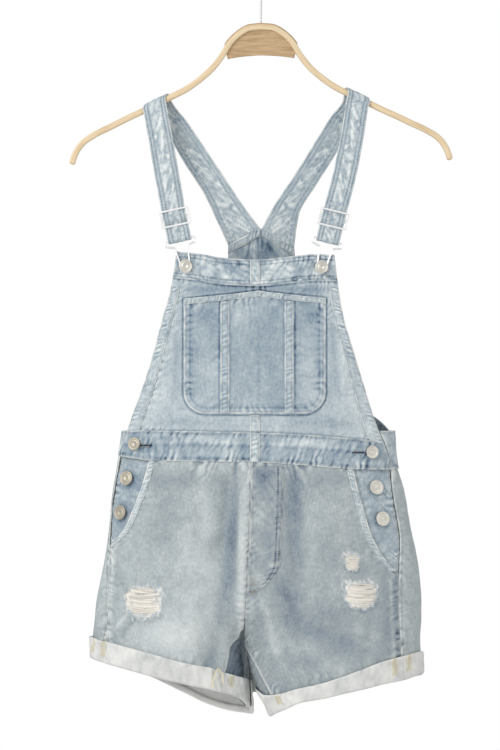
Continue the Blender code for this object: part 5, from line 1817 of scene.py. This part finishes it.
def flat_plate(name, rings, half_thick, edge, place, finish):
    """A flat piece cut from rings of points, the first its outline and the others holes."""
    data = bpy.data.curves.new(name, "CURVE")
    data.dimensions, data.fill_mode = "2D", "BOTH"
    data.extrude, data.bevel_depth, data.bevel_resolution = (half_thick - edge) * MM, edge * MM, 3
    for ring in rings:
        line = data.splines.new("POLY")
        line.points.add(len(ring) - 1)
        for point, (x, y) in zip(line.points, ring):
            point.co = (x * MM, y * MM, 0.0, 1.0)
        line.use_cyclic_u = True
    return from_curve(data, name, finish, place)


def rounded(half_wide, low, high, radius, count=5):
    """Corner points of a rectangle with rounded corners."""
    ring = []
    corners = ((1, 1, 0), (-1, 1, 90), (-1, -1, 180), (1, -1, 270))
    for sx, sy, start in corners:
        x = sx * (half_wide - radius)
        y = high - radius if sy > 0 else low + radius
        for step in range(count + 1):
            angle = math.radians(start + 90 * step / count)
            ring.append((x + radius * math.cos(angle), y + radius * math.sin(angle)))
    return ring


# %% Buckles and sliders
BUCKLE_WIRE_LINE = (
    (0, 33.4), (15.6, 33.4), (17.3, 32.5), (18.0, 30.8), (18.0, 28.2), (17.2, 26.8),
    (15.6, 26.2), (9.0, 24.6), (7.7, 23.4), (7.4, 21.4), (7.0, 16.0), (6.3, 10.0),
    (5.7, 5.0), (5.3, 0.0), (4.6, -4.0), (3.0, -6.8), (0, -7.8),
)
SLIDER_HALF_WIDE, SLIDER_HALF_TALL, SLIDER_BAR_HALF = 18.2, 10.2, 1.0
SLIDER_SLOT, SLIDER_SLOT_TALL = 15.6, 7.6
outline = [*BUCKLE_WIRE_LINE, *((-x, y) for x, y in BUCKLE_WIRE_LINE[-2:0:-1])]
slot_far = SLIDER_BAR_HALF + SLIDER_SLOT_TALL
for side in ("left", "right"):
    here = buckle_frame(side)
    wire(f"buckle_{side}", [(x, y, 0) for x, y in outline], BUCKLE_WIRE / 2, chrome, here, True)
    rings = (
        rounded(SLIDER_HALF_WIDE, -SLIDER_HALF_TALL, SLIDER_HALF_TALL, 2.4),
        rounded(SLIDER_SLOT, SLIDER_BAR_HALF, slot_far, 1.4),
        rounded(SLIDER_SLOT, -slot_far, -SLIDER_BAR_HALF, 1.4),
    )
    out = here @ Matrix.Translation((0.0, SLIDER_AT, SLIDER_OUT))
    flat_plate(f"slider_{side}", rings, SLIDER_THICK / 2, 0.45, out, chrome)

# %% Buttons
BUTTON_RADIUS = {"bib band": 7.75, "waistband": 7.75, "facing": 8.7}
BUTTON_TALL = {"bib band": 5.2, "waistband": 3.6, "facing": 4.2}
BUTTON_SHANK = ((0.86, 0.6), (0.28, 0.0), (0.27, 3.4))
BUTTON_RINGS = (  # share of the radius, and height from the rim's top
    (0.93, -0.25), (0.84, 0.0), (0.74, -0.1), (0.68, -0.55),
    (0.50, -0.55), (0.44, -0.2), (0.36, -0.25), (0.3, -0.6),
)


def button_cap(tall, radius):
    """A pressed cap with raised rings, on its shank, standing on the XY plane."""
    bpy.ops.mesh.primitive_cylinder_add(vertices=40, radius=radius * MM, depth=1.2 * MM)
    cap = bpy.context.object
    cap.data.transform(Matrix.Translation((0, 0, (tall - 0.6) * MM)))
    bpy.ops.object.mode_set(mode="EDIT")
    bpy.ops.mesh.select_mode(type="FACE")
    for up, steps in ((1, BUTTON_RINGS), (-1, BUTTON_SHANK)):
        bpy.ops.object.mode_set(mode="OBJECT")
        for face in cap.data.polygons:
            face.select = face.normal.z * up > 0.9
        bpy.ops.object.mode_set(mode="EDIT")
        share, level = 1.0, 0.6 if up > 0 else 0.0
        for next_share, next_level in steps:
            rise = next_level + 0.6 - level if up > 0 else next_level - level
            inset = max((share - next_share) * radius * MM, 1e-6)
            bpy.ops.mesh.inset(thickness=inset, depth=rise * MM, use_boundary=True)
            share, level = next_share, level + rise
    bpy.ops.object.mode_set(mode="OBJECT")
    apply_modifier(
        cap, "BEVEL", width=0.22 * MM, segments=2, limit_method="ANGLE", angle_limit=math.radians(50),
    )
    return cap


lifts = {"bib band": LAID, "waistband": BAND_THICK, "facing": -POCKET_GAP}
for name, row in BUTTONS.items():
    side = "left" if row["x"] < 0 else "right"
    sheet = f"{side}_front" if row["on"] == "facing" else "bib"
    foot, out = on_sheet(sheet, row["x"], row["drop"], lifts[row["on"]] + WIRE_GAP)
    if row["on"] == "bib band":
        out = buckle_frame(side).col[2].to_3d()
    cap = button_cap(BUTTON_TALL[row["on"]], BUTTON_RADIUS[row["on"]])
    cap.data.transform(Matrix.Translation(foot * MM) @ out.to_track_quat("Z", "Y").to_matrix().to_4x4())
    cap.matrix_world = Matrix.Identity(4)
    settle(cap, name, aged if row["x"] < -100 else cast)
print("buttons:", len(BUTTONS))

# %% [markdown]
# ## Stitches
# A row of stitches is a string of small beads. One bead is modelled, and every row of a piece is
# then filled with copies of it in one mesh, because thousands of objects would be slow.

# %% Sewing
THREAD_LONG, THREAD_GAP, THREAD_THICK = 2.5, 0.9, 0.52
bpy.ops.mesh.primitive_ico_sphere_add(subdivisions=1, radius=1)
bead = bpy.context.object
bead_points = np.array([vertex.co for vertex in bead.data.vertices])
bead_faces = np.array([face.vertices for face in bead.data.polygons])
bpy.data.objects.remove(bead)


def row_on(name, edge, inset):
    """Points and normals of a row of stitches at a distance in from one edge of a piece."""
    cloth = laid[name]
    field, points, normal = getattr(cloth.here, edge), cloth.points, cloth.normal
    if edge in ("top", "bottom"):
        field, points, normal = field.T, points.transpose(1, 0, 2), normal.transpose(1, 0, 2)
    count = np.arange(field.shape[1])
    line, out = [], []
    for distance, place, square in zip(field, points, normal):
        if distance.max() < inset:
            continue
        order = np.argsort(distance)
        at = np.interp(inset, distance[order], count[order])
        j = int(min(at, len(count) - 2))
        line.append(mix(place[j], place[j + 1], at - j))
        out.append(mix(square[j], square[j + 1], at - j))
    return np.array(line), np.array(out)


def beads_along(line, out, long=THREAD_LONG, gap=THREAD_GAP, thick=THREAD_THICK, skew=0.0, lift=0.12):
    """Corner points of a string of beads, every one turned along the line."""
    length = run_along(line)
    at = np.arange(long / 2 + gap, length[-1] - long / 2, long + gap)
    if not len(at):
        return np.empty((0, 3))

    def along_line(at, values):
        return np.stack([np.interp(at, length, values[:, k]) for k in range(3)], axis=1)

    centre, square = along_line(at, line), along_line(at, out)
    ahead = along_line(at + 0.6, line) - along_line(at - 0.6, line)
    ahead /= np.linalg.norm(ahead, axis=1, keepdims=True)
    square /= np.linalg.norm(square, axis=1, keepdims=True)
    aside = np.cross(square, ahead)
    way = ahead * math.cos(skew) + aside * math.sin(skew)
    aside = np.cross(square, way)
    shape = bead_points * (long / 2, thick / 2, thick / 2)
    ways = (way[:, None], aside[:, None], square[:, None])
    made = shape[None, :, :1] * ways[0] + shape[None, :, 1:2] * ways[1] + shape[None, :, 2:] * ways[2]
    return (made + centre[:, None] + square[:, None] * lift).reshape(-1, 3)


def thread_piece(name, corners, faces, finish):
    """One smooth mesh of many threads."""
    mesh = bpy.data.meshes.new(name)
    mesh.from_pydata((corners * MM).tolist(), [], faces)
    piece = bpy.data.objects.new(name, mesh)
    scene.collection.objects.link(piece)
    mesh.materials.append(finish)
    activate(piece)
    bpy.ops.object.shade_smooth()
    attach(piece, "root")
    return piece


def beads_mesh(name, corners, finish):
    """One mesh of all the beads."""
    starts = np.arange(len(corners) // len(bead_points))[:, None, None] * len(bead_points)
    return thread_piece(name, corners, (bead_faces[None] + starts).reshape(-1, 3).tolist(), finish)


# %% Threads
def thread_finish(name, colour, dark):
    finish, tree, shader = new_finish(name)
    place = node(tree, "ShaderNodeTexCoord").outputs["Object"]
    tint = blend(tree, grainy(tree, place, 260.0, 2.0), (*dark, 1), (*colour, 1))
    feed(tree, shader, {"Base Color": tint, "Roughness": 0.8})
    return finish


grey_thread = thread_finish("grey thread", (0.52, 0.53, 0.49), (0.24, 0.26, 0.27))
tan_thread = thread_finish("tan thread", (0.52, 0.48, 0.37), (0.28, 0.26, 0.20))
straw_thread = thread_finish("straw overlock thread", (0.90, 0.85, 0.62), (0.66, 0.58, 0.36))
amber_thread = thread_finish("amber bar tack thread", (0.50, 0.41, 0.25), (0.30, 0.25, 0.15))
weft_thread = thread_finish("bare weft thread", (0.92, 0.89, 0.82), (0.76, 0.71, 0.63))
fringe_thread = thread_finish("warp fringe", (0.80, 0.83, 0.84), (0.50, 0.57, 0.63))
TAN_PIECES = ("fly", "waistband", "cuff")
SEWN_GROUPS = ("bib", "pocket_hem", "pocket_facing", "waistband", "leg", "fly", "armhole", "yoke", "strap")
scene = bpy.context.scene
for group in SEWN_GROUPS:
    strings = [beads_along(*row_on(*seam)) for seam in seams if seam[0].startswith(group)]
    finish = tan_thread if group.startswith(TAN_PIECES) else grey_thread
    beads_mesh(f"stitches_{group}", np.concatenate(strings), finish)
    print(f"stitches_{group}:", sum(map(len, strings)) // len(bead_points), "stitches")

# %% [markdown]
# ## Overlock and bar tacks
# An overlock stitch wraps the raw edge of each seam, and shows where the cuffs turn the seams out.
# It is a row of the same beads, longer and laid nearly across the row. Bar tacks, small blocks of
# tight stitches, hold the end of the fly.

# %% Overlock rows on the cuffs
OVERLOCK = (
    {"on": "cuff_back_left", "x": -201, "first": 0.04, "last": 0.62},
    {"on": "cuff_front_left", "x": -188, "first": 0.03, "last": 0.66},
    {"on": "cuff_front_left", "x": -36, "first": 0.05, "last": 0.62},
    {"on": "cuff_front_right", "x": 21, "first": 0.04, "last": 0.6},
    {"on": "cuff_front_right", "x": 158, "first": 0.02, "last": 0.62},
    {"on": "cuff_back_right", "x": 176, "first": 0.05, "last": 0.64},
)


def column_at(name, x, first, last):
    """Points and normals down the column of a piece that passes nearest to an x."""
    cloth = laid[name]
    rows = len(cloth.points)
    top, foot = int(rows * first), int(rows * last)
    middle, facing = cloth.points[(top + foot) // 2, :, 0], cloth.normal[(top + foot) // 2, :, 1]
    column = int(np.argmin(np.abs(middle - x) + 100 * (facing > -0.05)))
    return cloth.points[top:foot, column], cloth.normal[top:foot, column]


strings = []
for row in OVERLOCK:
    line, out = column_at(row["on"], row["x"], row["first"], row["last"])
    for shift in (-2.1, 2.1):
        along = np.gradient(line, axis=0)
        aside = np.cross(out, along / np.linalg.norm(along, axis=1, keepdims=True))
        skew = math.copysign(1.15, shift)
        strings.append(beads_along(line + aside * shift, out, 5.2, -3.5, 0.95, skew, 0.35))
TAIL = {
    "x": (-60.6, -58.8, -56.2, -52.8, -49.6, -48.2, -49.0),
    "drop": (870, 860, 851.6, 849.4, 854, 862, 868.6),
}
x, drop = (np.interp(np.linspace(0, 6, 40), range(7), TAIL[key]) for key in ("x", "drop"))
strings.append(beads_along(*sheets["left_front"].at_x(x, drop, CUFF_THICK + 4.2), 2.8, -1.5, 1.5, 0.4, 0.3))
beads_mesh("overlock_threads", np.concatenate(strings), straw_thread)
print("overlock rows:", len(OVERLOCK))

# %% Buttonholes and bar tacks
BUTTONHOLES = ({"x": (-143.5, -130.5), "drop": 583.6}, {"x": (109.5, 122.5), "drop": 591.8})
strings = []
for hole in BUTTONHOLES:
    for shift in (-1.7, 1.7):
        x, drop = np.linspace(*hole["x"], 12), np.full(12, hole["drop"] + shift)
        line, out = sheets["bib"].at_x(x, drop, BAND_THICK + 0.2)
        strings.append(beads_along(line, out, 2.2, -1.3, 0.7, math.pi / 2, 0.2))
beads_mesh("buttonhole_threads", np.concatenate(strings), grey_thread)

BAR_TACKS = (  # middle, half length, and how many lines of stitches
    {"x": -9.0, "drop": 744.5, "half": 4.6, "lines": 4},
    {"x": -9.5, "drop": 757.0, "half": 3.4, "lines": 3},
)
strings = []
for tack in BAR_TACKS:
    for level in range(tack["lines"]):
        x = tack["x"] + np.linspace(-tack["half"], tack["half"], 9)
        drop = np.full(9, tack["drop"] + 2.3 * (level - (tack["lines"] - 1) / 2))
        line, out = sheets["right_front"].at_x(x, drop, LAID + 0.3)
        strings.append(beads_along(line, out, 2.6, 0.3, 0.75, 0.0, 0.2))
beads_mesh("bar_tack_threads", np.concatenate(strings), amber_thread)
print("buttonholes:", len(BUTTONHOLES), "bar tacks:", len(BAR_TACKS))

# %% [markdown]
# ## Torn places
# Wear breaks the blue warp first, so a rip is bridged by the white weft threads, which sag and part
# into bundles. Broken warp ends stand as fringe along its upper and lower edges. Every thread is a
# thin four-sided tube.

# %% Threads across the rips
def thread_tubes(lines, radius):
    """Corner points and faces of four-sided tubes along lines of the same number of points."""
    lines = np.array(lines)
    count, steps = lines.shape[:2]
    along = np.gradient(lines, axis=1)
    along /= np.linalg.norm(along, axis=2, keepdims=True) + 1e-9
    first = np.cross(along, (0.0, -1.0, 0.0))
    first /= np.linalg.norm(first, axis=2, keepdims=True) + 1e-9
    second = np.cross(along, first)
    taper = radius * np.clip(np.minimum(np.arange(steps), np.arange(steps)[::-1]) + 0.4, 0, 1)[None, :, None]
    corners = np.stack([lines + taper * side for side in (first, second, -first, -second)], axis=2)
    faces = []
    for tube in range(count):
        for step in range(steps - 1):
            base = (tube * steps + step) * 4
            faces += [(base + k, base + (k + 1) % 4, base + 4 + (k + 1) % 4, base + 4 + k) for k in range(4)]
        start, end = tube * steps * 4, (tube * steps + steps - 1) * 4
        faces += [(start + 3, start + 2, start + 1, start), (end, end + 1, end + 2, end + 3)]
    return corners.reshape(-1, 3), faces


def threads_mesh(name, lines, radius, finish):
    thread_piece(name, *thread_tubes(lines, radius), finish)
    bpy.ops.object.mode_set(mode="EDIT")
    bpy.ops.mesh.select_all(action="SELECT")
    bpy.ops.mesh.normals_make_consistent(inside=False)
    bpy.ops.object.mode_set(mode="OBJECT")


def on_leg(side, x, drop, lift):
    return sheets[f"{side}_front"].at_x(x, drop, lift)[0]


def bowed(share):
    """Half height of a rip at a share of its half width, or the other way about."""
    return (1 - abs(share) ** 3) ** (1 / 3)


chance = np.random.default_rng(17)
for side in ("left", "right"):
    across, fringe = [], []
    for rip in RIPS[side]:
        for level in np.linspace(-0.9, 0.9, rip["rows"]):
            drop = rip["drop"] + level * rip["tall"] + chance.uniform(-0.5, 0.5)
            reach = rip["wide"] * bowed(level) * chance.uniform(0.95, 1.12)
            t = np.linspace(0, 1, 9)
            sag = chance.uniform(0.6, 2.6) * np.sin(math.pi * t)
            x = rip["x"] - reach + 2 * reach * t + 0.4 * np.sin(9 * t + level * 7)
            lift = CLOTH + 0.2 + chance.uniform(0.2, 1.0) * np.sin(math.pi * t)
            across.append(on_leg(side, x, drop + sag + rip["slant"] * (t - 0.5), lift))
        for edge, long in ((-1, 3.4), (1, 4.6)):
            for share in np.linspace(-0.92, 0.92, rip["rows"] * 3):
                root_x = rip["x"] + share * rip["wide"]
                root_drop = rip["drop"] + edge * rip["tall"] * bowed(share) * chance.uniform(0.9, 1.06)
                t = np.linspace(0, 1, 5)
                x = root_x + chance.uniform(-1.6, 1.6) * t**1.5
                drop = root_drop - 0.8 + chance.uniform(0.5, 1.0) * long * t
                fringe.append(on_leg(side, x, drop, CLOTH + 0.35 + 0.5 * t))
    threads_mesh(f"weft_threads_{side}", across, 0.5, weft_thread)
    threads_mesh(f"warp_fringe_{side}", fringe, 0.3, fringe_thread)
    print(f"rip threads {side}:", len(across), "across,", len(fringe), "in the fringe")

# %% [markdown]
# ## Hanger
# The arms are one bar of wood, steamed and bent. The web is a board fitted under its arch, and the
# hook is a steel wire set upright in the middle of the bar.

# %% Hanger bar
HOOK_WIRE, HOOK_RADIUS, HOOK_NECK = 2.4, 21.0, 8.0
WEB_HALF_THICK, WEB_EDGE, BAR_ROUND_END = 3.0, 0.5, 2.5
WEB_FOOT = {"x": (-45, -20, 0, 20, 45), "drop": (120.5, 116.5, 115.2, 116.0, 119.0)}
WEB_REACH = (44.0, 118.0)


def hanger_line(count):
    """Points along the bar's centreline in x and z, from the right end to the left end."""
    half = np.stack((HANGER["x"], HANGER["drop"]), axis=1).astype(float)
    length = np.concatenate(([0.0], np.cumsum(np.hypot(*np.diff(half, axis=0).T))))
    smooth = {"length": length, "x": half[:, 0], "drop": half[:, 1]}
    even = np.linspace(0.0, length[-1], count)
    x, drop = (curve(smooth, key, even, by="length") for key in ("x", "drop"))
    right = np.stack((x, HANGER_TILT * x - drop), axis=1)[::-1]
    left = np.stack((-x, -HANGER_TILT * x - drop), axis=1)[1:]
    return np.concatenate((right, left))


def swept(name, line, half_deep, half_tall, edge, finish, around=28):
    """A bar with a rounded rectangular section along a line in x and z, with rounded ends."""
    way = np.gradient(line, axis=0)
    way /= np.linalg.norm(way, axis=1, keepdims=True)
    square = np.stack((way[:, 1], -way[:, 0]), axis=1)
    length = run_along(line)
    ring = np.array(rounded(half_deep, -half_tall, half_tall, edge, around // 4 - 1))
    ring = np.concatenate((ring, ring[:1]))
    rows = []
    for i, (at, side) in enumerate(zip(line, square)):
        near = min(length[i], length[-1] - length[i])
        full = 1.0 if near > BAR_ROUND_END else math.sqrt(max(0.0, 1 - (1 - near / BAR_ROUND_END) ** 2))
        rows.append([(at[0] + side[0] * t * full, y * full, at[1] + side[1] * t * full) for y, t in ring])
    points = np.array(rows)
    bpy.ops.mesh.primitive_grid_add(x_subdivisions=points.shape[1] - 1, y_subdivisions=len(line) - 1, size=1)
    bar = bpy.context.object
    bar.data.vertices.foreach_set("co", (points * MM).reshape(-1).astype(np.float32))
    flat = np.stack(np.meshgrid(length, run_along(ring), indexing="ij"), axis=-1)
    unroll(bar.data, flat.reshape(-1, 2) * MM)
    bpy.ops.object.mode_set(mode="EDIT")
    bpy.ops.mesh.select_all(action="SELECT")
    bpy.ops.mesh.remove_doubles(threshold=1e-6)
    bpy.ops.mesh.normals_make_consistent(inside=False)
    bpy.ops.object.mode_set(mode="OBJECT")
    return settle(bar, name, finish)


end_rows = np.array([0.0, 0.2, 0.6, 1.2, 1.9, 2.6])
centre = hanger_line(110)
reach = run_along(centre)
at = np.unique(np.concatenate((end_rows, reach[2:-2], reach[-1] - end_rows)))
bar_line = np.stack([np.interp(at, reach, centre[:, k]) for k in (0, 1)], axis=1)
swept("hanger_bar", bar_line, HANGER_HALF_DEEP, HANGER_HALF_TALL, HANGER_EDGE, bentwood)

# %% Hanger web and hook
way = np.gradient(centre, axis=0)
way /= np.linalg.norm(way, axis=1, keepdims=True)
inwards = np.stack((-way[:, 1], way[:, 0]), axis=1)
under = centre + inwards * -(HANGER_HALF_TALL + WIRE_GAP + WEB_EDGE) * np.sign(-way[:, :1])
arch = [tuple(p) for p in under if abs(p[0]) < WEB_REACH[0] and p[1] > -WEB_REACH[1]]
feet = np.linspace(arch[-1][0], arch[0][0], 25)
foot = [(x, -float(curve(WEB_FOOT, "drop", x, by="x"))) for x in feet]
upright = Matrix.Rotation(math.pi / 2, 4, "X")
web = flat_plate("hanger_web", [arch + foot[1:-1]], WEB_HALF_THICK, WEB_EDGE, upright, webwood)
flat = np.array([(vertex.co.x, vertex.co.z) for vertex in web.data.vertices])
if not web.data.uv_layers:
    web.data.uv_layers.new(name="UVMap")
unroll(web.data, flat)

hook_centre = HOOK_WIRE / 2 - HOOK_RADIUS
neck = hook_centre - HOOK_RADIUS - HOOK_NECK
bar_top = HANGER_HALF_TALL - HANGER["drop"][0]
route = [(0.0, 0.0, height) for height in (bar_top + WIRE_GAP, (bar_top + neck) / 2, neck)]
route.append((2.2, 0.0, neck + 4.5))
for turn in range(-60, 195, 12):
    angle = math.radians(turn)
    route.append((HOOK_RADIUS * math.cos(angle), 0.0, hook_centre + HOOK_RADIUS * math.sin(angle)))
wire("hanger_hook", route, HOOK_WIRE / 2, steel)
print("hanger:", len(bar_line), "rows along the bar,", len(route), "points along the hook")

# %% [markdown]
# ## Light, floor and camera
# A white room: soft light from all round, one broad lamp above on the left and a weaker one on the
# right, so that puckers and folds show. The camera stands well back with a long lens.

# %% Stage
scene.view_settings.view_transform = "Standard"
world = bpy.data.worlds.new("white room")
scene.world = world
world.use_nodes = True
tree = world.node_tree
tree.nodes.clear()
path = node(tree, "ShaderNodeLightPath")
seen = maths(tree, "MAXIMUM", path.outputs["Is Camera Ray"], path.outputs["Is Glossy Ray"])
strength = node(tree, "ShaderNodeMapRange", {0: seen, 3: 0.62, 4: 1.0}).outputs[0]
room = node(tree, "ShaderNodeBackground", {"Color": (1, 1, 1, 1), "Strength": strength})
node(tree, "ShaderNodeOutputWorld", {"Surface": room.outputs[0]})


def lamp(name, place, aim, size, power):
    data = bpy.data.lights.new(name, "AREA")
    data.shape, data.size, data.size_y, data.energy = "RECTANGLE", *size, power
    light = bpy.data.objects.new(name, data)
    scene.collection.objects.link(light)
    light.location = place
    light.rotation_euler = (Vector(aim) - Vector(place)).to_track_quat("-Z", "Y").to_euler()


lamp("key", (-1.7, -1.9, 0.7), (0, 0, -0.5), (1.3, 1.3), 36)
lamp("fill", (2.2, -1.8, -0.3), (0, 0, -0.55), (1.4, 1.4), 10)
lamp("bounce", (-0.3, -1.6, -1.2), (0, 0, -0.85), (1.4, 0.5), 1.5)

bpy.ops.mesh.primitive_plane_add(size=6, location=(0, -0.2, -1.25))
floor = bpy.context.object
floor.name = floor.data.name = "floor"
paint, tree, shader = new_finish("floor paint")
feed(tree, shader, {"Base Color": (0.86, 0.86, 0.86, 1), "Roughness": 0.8})
floor.data.materials.append(paint)

view = bpy.data.cameras.new("camera")
view.lens, view.sensor_width = 220, 36
camera = bpy.data.objects.new("camera", view)
scene.collection.objects.link(camera)
camera.location = (-0.0132, -5.5, -0.4992)
camera.rotation_euler = (math.pi / 2, 0, 0)
scene.camera = camera

# %% [markdown]
# ## How the cloth was cut
# A maker needs the flat size of every piece of cloth. It is measured on the nets before puckers
# were added: greatest width, greatest length and area.

# %% Flat sizes
RESTS_ON = {
    "strap": ["hanger_bar"], "bib_panel": ["buckle_left", "buckle_right"],
    "bib_pocket_": ["bib_pocket"], "bib_": ["bib_panel"], "waistband_centre": ["waistband_front"],
    "waistband_front": ["bib_panel"], "waistband_back": ["back_bib"],
    "leg_front": ["waistband_front"], "leg_back": ["waistband_back"], "fly": ["leg_front_right"],
    "cuff_front": ["leg_front_SIDE"], "cuff_back": ["leg_back_SIDE"], "pocket": ["leg_front_SIDE"],
    "back_bib": ["strap_left", "strap_right"], "armhole": ["back_bib"], "yoke": ["back_bib"],
    "crotch_fold": ["leg_front_left"],
}
for name, cloth in laid.items():
    wide, long = max(10.0, cloth.here.u.max()), max(10.0, cloth.here.v.max())
    found = next(found for start, found in RESTS_ON.items() if name.startswith(start))
    rests_on = [other.replace("SIDE", name.rpartition("_")[2]) for other in found]
    "folded" if "cuff" in name else "hung"
    min(cloth.area, wide * long) * MM * MM
    print(f"{name}: {wide:.0f} x {long:.0f} mm, {cloth.area / 100:.0f} cm2")
